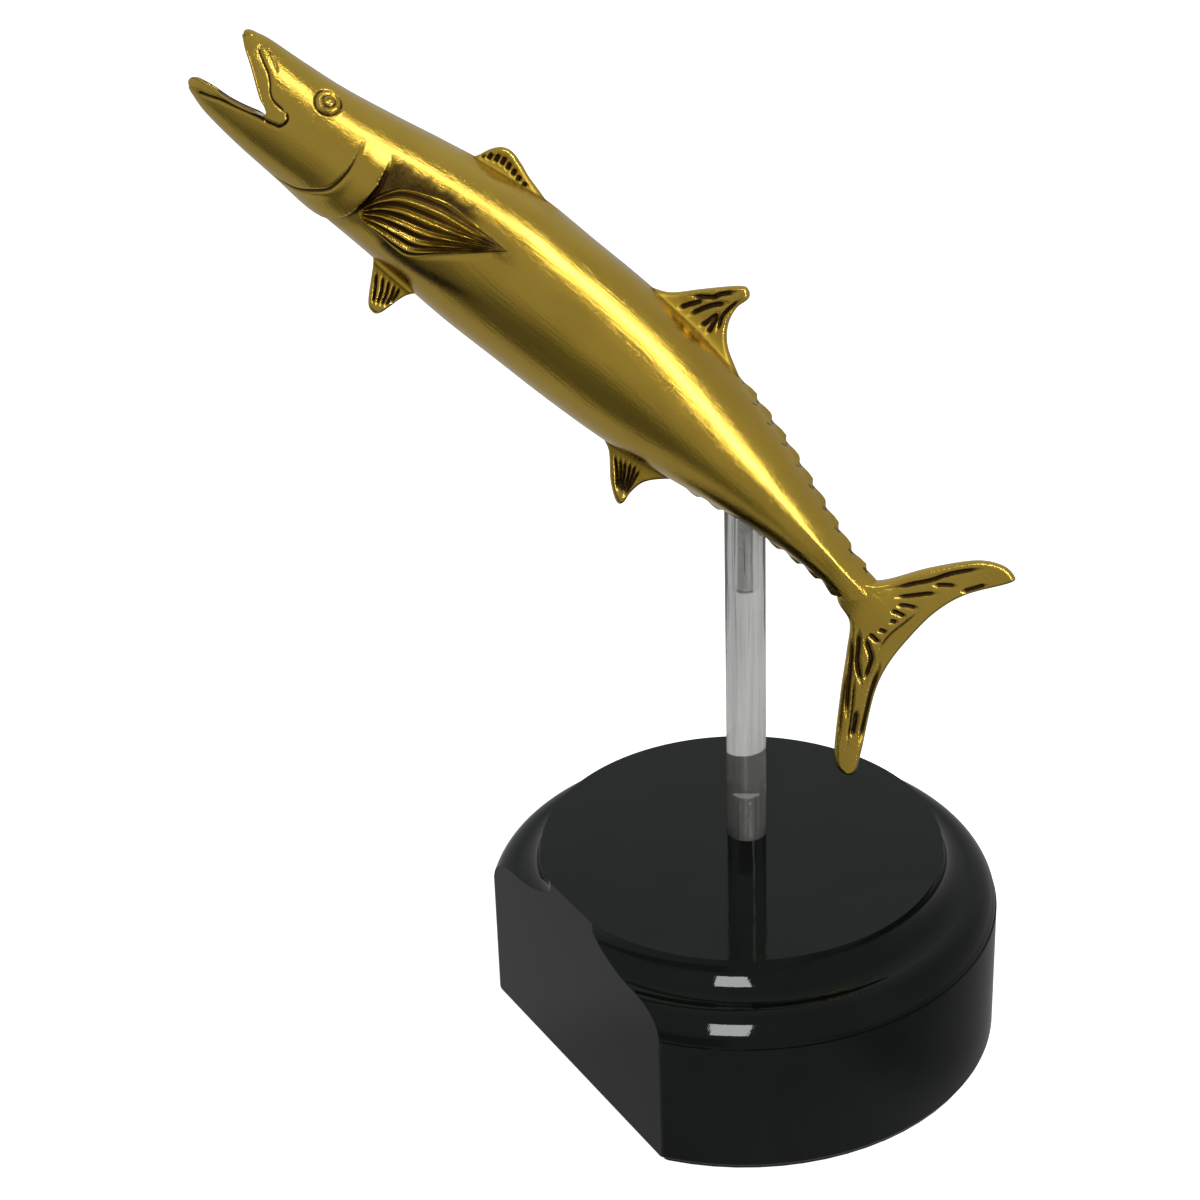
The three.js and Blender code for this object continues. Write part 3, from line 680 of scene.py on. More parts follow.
def off_skin(x, z, side):
    """How far x and z stand out of the back (side 1) or the belly (-1)."""
    middle, depth, _, _ = section(x)
    return side * (z - middle) - depth


def out_of_skin(points, side):
    """Turns places along X and heights out of the back (side 1) or the belly (-1) to x and z."""
    points = np.asarray(points, float)
    middle, depth, _, _ = section(points[:, 0])
    return np.stack([points[:, 0], middle + side * (depth + points[:, 1])], -1)


def to_world(points):
    """Points of the fish's frame, in metres on the trophy."""
    turned = np.array(FISH_TURN.to_3x3()) @ (np.asarray(points, float).T * MM)
    return turned.T + np.array(FISH_PLACE)


def to_fish(points):
    """Points on the trophy in metres, in the fish's frame."""
    return (points - np.array(FISH_PLACE)) @ np.array(FISH_TURN.to_3x3()) / MM


class Relief:
    """Height and patina at points of a flat map, in millimetres, built up from lines."""

    def __init__(self, points):
        self.points = np.asarray(points, float)
        self.height = np.zeros(len(self.points))
        self.patina_and_shade = np.zeros(len(self.points))

    def near(self, line, reach):
        """Which points are within reach of a line's box, how far each is, and its share along the line."""
        low, high = line.min(0) - reach, line.max(0) + reach
        chosen = np.nonzero(np.all((self.points > low) & (self.points < high), axis=1))[0]
        if not len(chosen):
            return chosen, np.zeros(0), np.zeros(0)
        points = self.points[chosen]
        steps = np.linalg.norm(np.diff(line, axis=0), axis=1)
        starts = np.concatenate([[0], np.cumsum(steps)])
        best, share = np.full(len(points), np.inf), np.zeros(len(points))
        for k in np.nonzero(steps > 1e-9)[0]:
            way = (line[k + 1] - line[k]) / steps[k]
            along = np.clip((points - line[k]) @ way, 0, steps[k])
            gap = np.linalg.norm(points - line[k] - along[:, None] * way, axis=1)
            closer = gap < best
            best[closer] = gap[closer]
            share[closer] = (starts[k] + along[closer]) / starts[-1]
        return chosen, best, share

    def darken(self, patina_and_shade, chosen=slice(None)):
        """Raises the patina to at least the given one."""
        self.patina_and_shade[chosen] = np.maximum(self.patina_and_shade[chosen], patina_and_shade)

    def groove(self, line, width, depth, dark=1.0, taper=0.15, spread=1.15):
        """A rounded groove, or with a negative depth a ridge, that thins out at its ends."""
        chosen, gap, share = self.near(line, width * 4)
        ends = smooth_step(np.minimum(share, 1 - share), -0.02, taper)
        sized = np.maximum(width * (0.45 + 0.55 * ends), 1e-3)
        self.height[chosen] -= depth * bell(gap, sized) * ends
        self.darken(np.exp(-((gap / (sized * spread)) ** 4)) * ends * dark, chosen)

    def stain_and_shade(self, line, width, dark):
        """A soft dark streak of painted shade that fades at its ends."""
        chosen, gap, share = self.near(line, width * 3)
        ends = smooth_step(share, -0.02, 0.12) * smooth_step(share, 1, 0.45)
        self.darken(dark * ends * bell(gap, width), chosen)


def inside(points, outline):
    """Which points are inside a closed outline."""
    x, y = points[:, 0], points[:, 1]
    found = np.zeros(len(points), bool)
    for (ax, ay), (bx, by) in zip(outline, np.roll(outline, -1, axis=0)):
        if ay != by:
            crosses = (ay > y) != (by > y)
            found ^= crosses & (x < (bx - ax) * (y - ay) / (by - ay) + ax)
    return found


def body_relief(x, around):
    """How far the skin's detail stands out, and its patina, at places along and round the body."""
    around = (around + 180) % 360 - 180
    around = np.where(np.abs(around) > 90, np.sign(around) * 180 - around, around)
    relief = Relief(chart(x, around))
    gill_cover(relief, x, around)
    head_lines(relief)
    eye(relief)
    pectoral_bed(relief, x, around)
    fin_root_stains_and_shade(relief, x, around)
    keel = bell(relief.points[:, 1] - 1, 1.2) * smooth_step(x, -12, -30) * smooth_step(x, -47, -42)
    relief.height += 0.35 * keel
    finlets(relief, x, around)
    return relief


def gill_cover(relief, x, around):
    """A plate with a sharp rear edge over a sunk strip with patina, and behind the edge a broad zone of
    patina and painted shade, darker higher up the flank.
    """
    step = bpy.context.scene.trophy_fish.gill_step / MM
    edge = smooth_line(GILL_EDGE)
    behind = np.interp(around, edge[::-1, 1], edge[::-1, 0]) - x
    span = smooth_step(around, -96, -80) * (1 - smooth_step(around, 14, 37))
    plate = smooth_step(behind, 0.35, -0.25) * bell(np.minimum(behind, 0), 7)
    sunk = smooth_step(behind, -0.3, 0.3) * bell(np.maximum(behind, 0), 2.4)
    relief.height += span * (step * plate - 0.55 * sunk)
    # Patina in the sunk strip, and behind the edge a broad zone of patina with painted shade, darker higher
    # up the flank
    shade = bell(behind - 0.35, 0.5) + 0.7 * bell(behind, 7) * (behind > 0)
    above = smooth_step(around, -34, -8)
    relief.darken(span * np.clip(shade * (0.45 + 0.55 * above), 0, 1))


def head_lines(relief):
    """The lines of the cheek, the jaw and the upper jaw's bone, with a ridge before the cheek's line."""
    deep = bpy.context.scene.trophy_fish.groove_depth / MM
    ridge = [(x - 1.1, around) for x, around in CHEEK_LINE[:-2]]
    for line, width, depth, dark, taper in (
        (CHEEK_LINE, 0.42, deep * 0.9, 0.8, 0.22),
        (ridge, 1.3, -0.22, 0, 0.2),
        (JAW_LINE, 0.36, deep, 1.0, 0.06),
        (MAXILLA, 0.27, deep * 0.75, 1.0, 0.1),
        (MAXILLA_FLAP, 0.34, deep, 1.0, 0.02),
        (MAXILLA_CREASE, 0.22, deep * 0.5, 0.6, 0.2),
    ):
        relief.groove(charted(line), width, depth, dark, taper)


def eye(relief):
    """A domed eye in a ring, with dark lines round the ring, the iris and the pupil."""
    radius = bpy.context.scene.trophy_fish.eye_radius / MM
    away = np.linalg.norm(relief.points - chart(*EYE_PLACE), axis=1)
    for height, reach in ((0.4, radius), (0.45, radius * 0.5)):
        relief.height += height * np.sqrt(np.clip(1 - (away / reach) ** 2, 0, 1))
    relief.height += 0.15 * smooth_step(away, radius + 1.2, radius)
    for share, width, depth, dark in (
        (1.06, 0.26, 0.5, 1), (0.78, 0.2, -0.25, 0), (0.5, 0.22, 0.3, 1), (0.2, 0.18, 0.15, 0.8),
    ):
        band = bell(away - radius * share, width)
        relief.height -= depth * band
        relief.darken(dark * band)


def pectoral_bed(relief, x, around):
    """A sunk line round the folded pectoral fin with patina in it, patina and painted shade in a band above
    the fin, a painted shadow at its tip and a streak of painted shade under it.
    """
    upper, lower = charted(PECTORAL_UPPER), charted(PECTORAL_LOWER)
    outline = np.vstack([upper, lower[::-1][1:-1]])
    chosen, gap, _ = relief.near(closed(outline), 9)
    depth_in = np.where(inside(relief.points[chosen], outline), gap, -gap)
    relief.height[chosen] -= 0.3 * bell(depth_in + 0.3, 0.6)
    forward = smooth_step(x[chosen], 84, 102)
    relief.darken((0.4 + 0.55 * forward) * bell(depth_in + 0.1, 0.35), chosen)
    # Patina and painted shade in a wavy band above the fin
    wavy = around + 1.6 * np.sin(x * 1.1) + 0.9 * np.sin(x * 2.7 + 1)
    over = smooth_step(wavy, 41, 29) * smooth_step(around, 2, 10)
    over *= smooth_step(x, 82, 91) * smooth_step(x, 112, 109)
    relief.darken(0.74 * over)
    # Painted shadow round the fin's tip
    relief.darken(0.6 * bell(x - 78.5, 5) * bell(around - 17, 6))
    # A streak of painted shade under the fin
    relief.stain_and_shade(charted(PECTORAL_SHADE_STREAK), 2.3, 0.8)


def fin_root_stains_and_shade(relief, x, around):
    """Patina and painted shade along the roots of the two dorsal fins and of the anal fin, where they meet
    the body.
    """
    for front, rear, side in ((98, 76, 1), (46, 16, 1), (31, 12, -1)):
        along = smooth_step(x, rear - 3, rear + 5) * (1 - smooth_step(x, front - 6, front + 3))
        # Patina and painted shade in the corner where the fin meets the body
        relief.darken(0.7 * along * bell(from_ridge(x, around, side), 2.7))


def finlets(relief, x, around):
    """Scalloped rows along the back and the belly, with dark notches and short strokes between them."""
    for front, rear, count, side in FINLET_ROWS:
        place = (front - x) / (front - rear) * count
        part = place - np.floor(place)
        used = (place > 0) & (place < count)
        scallop = np.interp(part, [0, 0.08, 0.45, 0.78, 0.93, 1], [-0.15, 0.15, 0.75, 0.95, 0.1, -0.15])
        ridge = from_ridge(x, around, side)
        relief.height += used * scallop * bell(ridge, 1.3)
        notch = np.clip(bell(part - 0.98, 0.12) + bell(part + 0.02, 0.12), 0, 1)
        relief.darken(0.95 * used * notch * bell(ridge, 2.1))
    deep = bpy.context.scene.trophy_fish.groove_depth / MM
    front, rear, count, _ = FINLET_ROWS[0]
    for k in range(count):
        notch_x = front - (front - rear) / count * (k + 0.95)
        stroke = [(notch_x + 1.6, 71), (notch_x + 0.4, 74), (notch_x - 0.6, 80)]
        relief.groove(charted(stroke), 0.26, deep * 0.45, 0.75, 0.25)


def body_rings():
    """The body's rings: close on the head, the fin roots and the finlets, wider on the plain back."""
    x = np.concatenate([
        np.arange(STATIONS[0, 0], 106, -0.3), np.arange(106, 74, -0.62), np.arange(74, 16, -2.0),
        np.arange(16, -50.5, -0.62),
    ])
    around = np.linspace(0, 360, BODY_SIDES, endpoint=False)
    grid_x, grid_around = (grid.ravel() for grid in np.meshgrid(x, around, indexing="ij"))
    height = body_relief(grid_x, grid_around).height
    last = STATIONS[-1, 0]
    points = skin(np.maximum(grid_x, last), grid_around, height)
    beyond = np.clip(last - grid_x, 0, None)
    points[:, 0] -= beyond
    points[:, 1] *= 1 - 0.75 * smooth_step(beyond, 0, 4)
    return points.reshape(len(x), BODY_SIDES, 3)


def body_mesh():
    """The body's rings with rounded ends."""
    rings = body_rings()
    ends, tips = [], []
    for ring, reach in ((rings[0], 0.4), (rings[-1], -0.6)):
        centre = ring.mean(0)
        tips.append(centre + (reach, 0, 0))
        for step in (0.35, 0.65, 0.87):
            cap = centre + (ring - centre) * math.sqrt(1 - step**2)
            cap[:, 0] = ring[:, 0] + reach * step
            ends.append(cap)
    return loft(np.concatenate([ends[2::-1], rings, ends[3:]]), tips)


def blob(centre, reach):
    """An ellipsoid in the fish's frame."""
    bpy.ops.mesh.primitive_uv_sphere_add(segments=48, ring_count=32, radius=1)
    piece = bpy.context.active_object
    piece.matrix_world = FISH_POSE @ Matrix.Translation(centre) @ Matrix.Diagonal((*reach, 1))
    take_up(piece)
    bpy.ops.object.transform_apply(location=True, rotation=True, scale=True)
    return piece


def mouth_wedge():
    """The open wedge between the jaws."""
    upper, lower = smooth_line(MOUTH_UPPER, 4), smooth_line(MOUTH_LOWER, 4)
    outline = np.vstack([MOUTH_CORNER, lower, upper[::-1]])
    points, faces = loft([[(x, y, z + MOUTH_TILT * y) for x, z in outline] for y in (-20, 20)])
    return mesh_piece("mouth_wedge", to_world(points), faces)


def mouth_hollow():
    """The hollow inside the wedge, which leaves the lips standing."""
    upper, lower = smooth_line(MOUTH_UPPER, 4), smooth_line(MOUTH_LOWER, 4)
    angle = np.linspace(0, 2 * math.pi, 24, endpoint=False)
    rings = []
    for x in np.linspace(HOLLOW_REAR + 0.5, HOLLOW_FRONT - 0.4, 14):
        top, foot = (np.interp(x, edge[:, 0], edge[:, 1]) for edge in (upper, lower))
        ease = math.sin(math.pi * (x - HOLLOW_REAR) / (HOLLOW_FRONT - HOLLOW_REAR)) ** 0.6
        width = max(section(x)[2] - CHEEK_WALL, 0.4) * (0.35 + 0.65 * ease)
        y = width * np.cos(angle)
        reach = np.where(np.sin(angle) > 0, 1.6, 0.5) * ease + (top - foot) / 2
        z = (top + foot) / 2 + reach * np.sin(angle) + MOUTH_TILT * y
        rings.append(np.stack([np.full(len(angle), x), y, z], -1))
    points, faces = loft(rings)
    return mesh_piece("mouth_hollow", to_world(points), faces)


def stain_and_shade_body(piece):
    """Works out the body's patina and painted shade, and where the back fins kept the polish off, after the
    mouth is cut.
    """
    own = to_fish(points_of(piece))
    middle, depth, width, lean = section(own[:, 0])
    sine, cosine = (own[:, 2] - middle) / depth, own[:, 1] / width
    around = np.degrees(np.arctan2(sine, cosine))
    x = own[:, 0] + lean * np.sin(np.radians(around))
    deep = smooth_step(np.hypot(sine, cosine), 0.9, 0.72) * smooth_step(own[:, 0], 132, 139)
    store(piece, "patina_and_shade", np.maximum(body_relief(x, around).patina_and_shade, deep * 0.9))
    by_fins = np.maximum(
        smooth_step(x, 13, 17) * smooth_step(x, 48, 44), smooth_step(x, 72, 76) * smooth_step(x, 101, 97)
    )
    store(piece, "satin", by_fins * smooth_step(from_ridge(x, around, 1), 6.5, 3.5))


def pectoral_fin(name, side):
    """One folded pectoral fin: rounded ribs that fan from its root, over a skirt sunk in the flank."""
    look = bpy.context.scene.trophy_fish
    grooves = look.pectoral_rays + 1
    upper, lower = smooth_line(PECTORAL_UPPER, 24), smooth_line(PECTORAL_LOWER, 24)
    down = np.clip(np.concatenate([[-1.0], np.linspace(0, 1, 14 * grooves + 1), [2.0]]), 0, 1)
    along = np.linspace(0, 1, len(upper))[:, None]
    places = upper[:, None] * (1 - down[:, None]) + lower[:, None] * down[:, None]
    breadth = np.linalg.norm(chart(*lower.T) - chart(*upper.T), axis=1)[:, None]
    to_edge = np.minimum(down, 1 - down) * breadth
    ends = smooth_step(along, 0, 0.06) * smooth_step(along, 1.0, 0.84)

    phase = down ** (0.9 + 0.35 * along) * grooves
    off_rib = np.abs(phase - np.round(phase))
    spread = smooth_step(breadth / grooves, 0.15, 0.9) * smooth_step(along, 1, 0.86)
    ribbed = (1.05 * bell(off_rib, 0.23) - 0.5) * spread
    bulge = 1 - (1 - np.clip(to_edge / 0.6, 0, 1)) ** 2.2
    swell = 0.5 * np.sin(math.pi * down)
    out = look.pectoral_rise / MM * bulge * (0.12 + 0.88 * ends) + ribbed + swell * ends
    out = out * smooth_step(to_edge, -0.2, 0.3) - 0.15
    out[:, [0, -1]] = -0.9

    patina_and_shade = spread * smooth_step(off_rib, 0.2, 0.38) * (1.1 - 0.35 * smooth_step(along, 0.35, 0.85))
    patina_and_shade = np.maximum(patina_and_shade, 0.75 * smooth_step(along, 0.84, 0.93))
    patina_and_shade = np.maximum(patina_and_shade, bell(to_edge, 0.12))

    points = skin(places[..., 0], places[..., 1], out)
    points[..., 1] *= side
    rows, columns = out.shape
    faces = [
        (k, k + columns, k + columns + 1, k + 1)
        for r in range(rows - 1) for k in range(r * columns, (r + 1) * columns - 1)
    ]
    faces += [
        (k, k + columns, k + 2 * columns - 1, k + columns - 1)
        for k in range(0, (rows - 1) * columns, columns)
    ]
    gold_piece(name, points.reshape(-1, 3), faces, patina_and_shade.ravel())


def lip_line(edge, side):
    """Where the skin of one flank meets an edge of the mouth, from its corner to the tip."""
    curve = smooth_line(edge)
    around = np.linspace(-89, 89, 713)
    found = []
    for x in np.linspace(141.2, 156.6, 56):
        points = skin(np.full(len(around), x), around) * (1, side, 1)
        rise = np.interp(points[:, 0], curve[:, 0], curve[:, 1]) + MOUTH_TILT * points[:, 1]
        found.append(points[np.argmin(np.abs(points[:, 2] - rise))])
    found = np.array(found)
    for _ in range(4):
        found[1:-1] = (found[:-2] + 2 * found[1:-1] + found[2:]) / 4
    return found


def lip(name, edge):
    """A round bead along an edge of the mouth, from corner to corner, thinner at its ends."""
    line = np.vstack([lip_line(edge, 1), lip_line(edge, -1)[::-1]])
    ahead = np.gradient(line, axis=0)
    ahead /= np.linalg.norm(ahead, axis=1)[:, None]
    side = np.cross(ahead, [0, 0, 1.0])
    side /= np.linalg.norm(side, axis=1)[:, None]
    up = np.cross(side, ahead)
    angle = np.linspace(0, 2 * math.pi, 10, endpoint=False)[:, None]
    step = np.arange(len(line))
    size = LIP_RADIUS * (0.25 + 0.75 * smooth_step(step, -1, 6) * smooth_step(step[::-1], -1, 6))
    circle = np.cos(angle) * side[:, None] + np.sin(angle) * up[:, None]
    points, faces = loft(line[:, None] + size[:, None, None] * circle)
    gold_piece(name, points, faces, np.zeros(len(points)))


def even_rim(outline):
    """A closed outline as evenly spaced points."""
    rim = closed(smooth_line(closed(outline), 12)[:-1])
    walked = np.concatenate([[0], np.cumsum(np.linalg.norm(np.diff(rim, axis=0), axis=1))])
    count = max(int(walked[-1] / LEAF_SPACING), 24)
    places = np.linspace(0, walked[-1], count, endpoint=False)
    return np.stack([np.interp(places, walked, rim[:, k]) for k in (0, 1)], -1)


def rim_gap(points, rim):
    """How far points are from a closed line."""
    return Relief(points).near(closed(rim), 1e3)[1]


def leaf_plan(rim):
    """Points and triangles that fill a rim: in rows, and close together along the rim."""
    ahead, behind = np.roll(rim, -1, 0), np.roll(rim, 1, 0)
    turning = (ahead - behind) / np.linalg.norm(ahead - behind, axis=1)[:, None]
    area = np.sum(rim[:, 0] * ahead[:, 1] - ahead[:, 0] * rim[:, 1])
    inward = np.stack([-turning[:, 1], turning[:, 0]], -1) * math.copysign(1, area)
    close_rows = ((0.06, 0.05), (0.18, 0.15), (0.36, 0.31), (0.6, 0.52))
    candidates = [(rim + inward * step, clearance) for step, clearance in close_rows]
    low, high = rim.min(0), rim.max(0)
    for k, row in enumerate(np.arange(low[1], high[1], LEAF_SPACING * 0.87)):
        x = np.arange(low[0] + (k % 2) * LEAF_SPACING / 2, high[0], LEAF_SPACING)
        candidates.append((np.stack([x, np.full(len(x), row)], -1), 0.8))
    kept = [rim]
    for points, clearance in candidates:
        points = points[inside(points, rim)]
        if len(points):
            kept.append(points[rim_gap(points, rim) >= clearance])
    edges = [(i, (i + 1) % len(rim)) for i in range(len(rim))]
    points, _, faces, *_ = delaunay_2d_cdt([Vector(p) for p in np.vstack(kept)], edges, [], 1, 1e-5)
    return np.array([tuple(p) for p in points]), faces


def leaf(outline, thickness, grooves, flare):
    """A fin as a lens over its outline: rounded at the rim, grooved on both sides.

    The outline and grooves are x and z. Flare adds thickness where it is wanted, as a function of x and z.
    """
    rim = even_rim(outline)
    plan, faces = leaf_plan(rim)
    gap = rim_gap(plan, rim)
    inner = gap >= 1e-3
    relief = Relief(plan)
    for line, width, depth, dark in grooves:
        relief.groove(smooth_line(line, 6), width, depth, dark, 0.25, 1.35)
    softness = min(thickness / 2, 1.1)
    rounding = np.sqrt(np.clip(1 - (1 - np.clip(gap / softness, 0, 1)) ** 2, 0, 1))
    calm = smooth_step(gap, 0.1, 0.8)
    half = (thickness / 2 + flare(*plan.T)) * rounding + relief.height * calm
    half = np.maximum(half, 0.12 * rounding) * inner
    right = np.arange(len(plan))
    right[inner] = len(plan) + np.arange(inner.sum())
    left_side = np.stack([plan[:, 0], half, plan[:, 1]], -1)
    points = np.vstack([left_side, left_side[inner] * (1, -1, 1)])
    patina_and_shade = relief.patina_and_shade * calm
    faces = [tuple(f) for f in faces] + [tuple(int(right[i]) for i in reversed(f)) for f in faces]
    return points, faces, np.concatenate([patina_and_shade, patina_and_shade[inner]])


def alike(lines, width, depth, dark=1.0):
    """Grooves of one width, depth and darkness."""
    return [(line, width, depth, dark) for line in lines]


def fin(name, outline, thickness, grooves, side, move=None):
    """A fin that grows out of the back or the belly."""
    front, rear = outline[0][0], outline[-1][0]
    root = [(rear - 0.3, -FIN_ROOT), ((front + rear) / 2, -FIN_ROOT), (front + 0.3, -FIN_ROOT)]
    rim = out_of_skin(np.vstack([smooth_line(outline, 6), root]), side)
    lines = [(out_of_skin(line, side), *cut) for line, *cut in grooves]

    def flare(x, z):
        return 0.4 * np.exp(-np.clip(off_skin(x, z, side), 0, None) / 0.7)

    points, faces, patina_and_shade = leaf(rim, thickness, lines, flare)
    out = off_skin(points[:, 0], points[:, 2], side)
    # Patina and painted shade on the fin where it meets the body
    patina_and_shade = np.maximum(patina_and_shade, 0.6 * bell(out - 0.1, 0.4))
    piece = gold_piece(name, move(points) if move else points, faces, patina_and_shade)
    x, _, z = to_fish(points_of(piece)).T
    store(piece, "satin", smooth_step(off_skin(x, z, side), 5, 2.2))


def pelvic_fin(name, side, grooves):
    """A pelvic fin: moved off the middle of the belly and spread outwards."""
    root = out_of_skin(PELVIC_FIN, -1)[1][1]
    lean = np.array(Matrix.Rotation(math.radians(side * PELVIC_SPREAD), 3, "X"))

    def move(points):
        return (points - (0, 0, root)) @ lean.T + (0, side * PELVIC_SIDE, root)

    fin(name, PELVIC_FIN, 2.0, grooves, -1, move)


def tail(grooves):
    """The tail: thick at its root and thin at the tips of its lobes."""

    def flare(x, z):
        root_swell = 1.1 * bell(x + 41, 7) * bell(z + 4, 7)
        return root_swell - 0.55 * smooth_step(np.hypot(x + 44, z + 5), 12, 34)

    gold_piece("tail_fin", *leaf(smooth_line(closed(np.array(TAIL_FIN)), 6)[:-1], 4.0, grooves, flare))


def gild(piece):
    """Finishes a part of the gold casting."""
    finish_piece(piece, "antique_gold", "fish_casting", 50)


def gold_piece(name, points, faces, patina_and_shade):
    """A gold piece from points in the fish's frame."""
    piece = mesh_piece(name, to_world(points), faces, patina_and_shade)
    gild(piece)
    return piece


# Base, rod and fasteners


def spun(name, profile, steps):
    """A piece turned about the upright middle line from radii and heights, in metres."""
    mesh = bpy.data.meshes.new(name)
    mesh.from_pydata([(r, 0, z) for r, z in profile], [(i, i + 1) for i in range(len(profile) - 1)], [])
    piece = bpy.data.objects.new(name, mesh)
    bpy.context.scene.collection.objects.link(piece)
    take_up(piece)
    bpy.ops.object.mode_set(mode="EDIT")
    bpy.ops.mesh.select_all(action="SELECT")
    bpy.ops.mesh.spin(
        steps=steps, angle=2 * math.pi, use_auto_merge=True, center=(0, 0, 0), axis=(0, 0, 1)
    )
    bpy.ops.object.mode_set(mode="OBJECT")
    outward(piece, 1e-6)
    return piece


def drill(radius, low, high, sides=96):
    """An upright cylinder on the rod's axis, between two heights."""
    bpy.ops.mesh.primitive_cylinder_add(
        vertices=sides, radius=radius, depth=high - low, location=(ROD_AXIS.x, ROD_AXIS.y, (low + high) / 2)
    )
    bpy.ops.object.transform_apply(location=True, rotation=True, scale=True)
    return bpy.context.active_object


def base_profile(sizes, radius, low, high):
    """Half of the base's upright section, as radii and heights."""
    cove = (sizes.disc_radius + sizes.cove_radius, high - sizes.rim_drop)
    shoulder_foot = cove[1] - sizes.cove_radius - sizes.shoulder_height
    shoulder_width = radius - sizes.ledge_width - cove[0]
    return [
        (0, low),
        *arc((radius - BASE_FOOT, low + BASE_FOOT), BASE_FOOT, BASE_FOOT, -90, 0, 8),
        (radius, shoulder_foot),
        *arc((cove[0], shoulder_foot), shoulder_width, sizes.shoulder_height, 0, 90, 26),
        *arc(cove, sizes.cove_radius, sizes.cove_radius, 270, 180, 26)[1:],
        (sizes.disc_radius, high),
        (0, high),
    ]


def base_plan(sizes, radius):
    """What is kept of the turned base, seen from above: all behind the flat front and its round corners."""
    corner = sizes.corner_radius
    corner_y = corner - sizes.flat_distance
    corner_x = math.sqrt((radius - corner) ** 2 - corner_y**2)
    start = math.degrees(math.atan2(corner_y, corner_x))
    right = arc((corner_x, corner_y), corner, corner, -90, start, 12)
    wide = radius + MM
    return right + arc((0, 0), wide, wide, start, 180 - start, 200) + [(-x, y) for x, y in reversed(right)]


def threaded(name, outline, thread_low, thread_high):
    """A turned fastener on the rod's axis whose shank carries a real helical thread."""
    fine = []
    for (r0, z0), (r1, z1) in zip(outline[:-1], outline[1:]):
        on_shank = max(abs(r0 - THREAD_RADIUS), abs(r1 - THREAD_RADIUS)) < 1e-6
        steps = max(1, int(abs(z1 - z0) / (THREAD_PITCH / 7))) if on_shank else 1
        fine += [(r0 + (r1 - r0) * k / steps, z0 + (z1 - z0) * k / steps) for k in range(steps)]
    fine = np.array([*fine, outline[-1]])
    angle = np.linspace(0, 2 * math.pi, 40, endpoint=False)
    rings = []
    for r, z in fine[fine[:, 0] > 1e-7]:
        cut = 0.0
        if thread_low < z < thread_high and abs(r - THREAD_RADIUS) < 1e-6:
            cut = THREAD_DEPTH * (0.5 + 0.5 * np.cos(2 * math.pi * z / THREAD_PITCH - angle)) ** 1.5
        x, y = ROD_AXIS.x + (r - cut) * np.cos(angle), ROD_AXIS.y + (r - cut) * np.sin(angle)
        rings.append(np.stack([x, y, np.full(len(angle), z)], -1))
    points, faces = loft(rings, [(ROD_AXIS.x, ROD_AXIS.y, z) for z in (fine[0, 1], fine[-1, 1])])
    return mesh_piece(name, points, faces)


# Stage


def lay_floor():
    """A floor that shows white, and that polished surfaces mirror as a grey table in the room."""
    bpy.ops.mesh.primitive_plane_add(size=80, location=(0, 0, 0))
    floor = bpy.context.active_object
    floor.name = "floor"
    finish, colours = new_finish("pale_floor")
    camera, glossy, through = (
        finish.node("ShaderNodeLightPath", out=kind)
        for kind in ("Is Camera Ray", "Is Glossy Ray", "Is Transmission Ray")
    )
    lit = finish.node("ShaderNodeBsdfDiffuse", {}, {"Color": (*colours.floor, 1)})
    glow = finish.node("ShaderNodeEmission", {}, {"Color": (1, 1, 1, 1), "Strength": 0.95})
    bright = finish.node("ShaderNodeAddShader", {}, {0: lit, 1: glow})
    white = finish.node(
        "ShaderNodeMixShader", {}, {0: finish.fade(camera + glossy + through, 0.2, 0.8), 1: lit, 2: bright}
    )
    table = finish.node(
        "ShaderNodeEmission", {},
        {"Color": finish.blend(table_shade(finish), TABLE_PALE, TABLE_SHADE), "Strength": 1.0},
    )
    whole = finish.node("ShaderNodeMixShader", {}, {0: glossy * (1 - through), 1: white, 2: table})
    finish.node("ShaderNodeOutputMaterial", {}, {"Surface": whole})
    floor.data.materials.append(finish.owner)


def table_shade(finish):
    """Where the mirrored table is dark: before the trophy, under its front and just behind it."""
    level = finish.vector("MULTIPLY", finish.place(), (1, 1, 0))
    distance = finish.vector("LENGTH", level, out="Value")
    before = finish.fade(finish.dot(level, toward(-40, 0)), 0.118, 0.142)
    heading = finish.vector("NORMALIZE", level)
    before = before * finish.fade(finish.dot(heading, toward(-90, 0)), 0.54, 0.71)
    before = before * (1 - finish.fade(distance, 0.35, 1.6) * 0.65)
    away = finish.vector("DISTANCE", level, (0.015, -0.055, 0), "Value")
    under = (1 - finish.fade(away, 0.02, 0.05)) * 0.35
    behind = finish.fade(finish.dot(level, toward(60, 0)), 0.04, 0.07)
    behind = behind * (1 - finish.fade(distance, 0.11, 0.2))
    return finish.maths("MAXIMUM", finish.maths("MAXIMUM", before, under), behind * 0.8)


def light_world():
    """A plain grey room with a paler far wall and a dark patch low in front."""
    world = bpy.data.worlds.new("studio")
    bpy.context.scene.world = world
    finish = Finish(world)
    ray = finish.node("ShaderNodeTexCoord", out="Generated")
    shaded = finish.fade(finish.dot(ray, toward(-68, -22)), 0.83, 1.05)
    far_wall = finish.fade(finish.dot(ray, toward(147, 48)), 0.6, 0.95)
    colour = finish.blend(far_wall, finish.blend(shaded, ROOM, TABLE_SHADE), FAR_WALL)
    light = finish.node("ShaderNodeBackground", {}, {"Color": colour, "Strength": 1.0})
    finish.node("ShaderNodeOutputWorld", {}, {"Surface": light})


def set_up(name, data, place, axes):
    """An object at a place, turned to three axes."""
    thing = bpy.data.objects.new(name, data)
    bpy.context.scene.collection.objects.link(thing)
    thing.matrix_world = Matrix.Translation(place) @ Matrix(axes).transposed().to_4x4()
    return thing


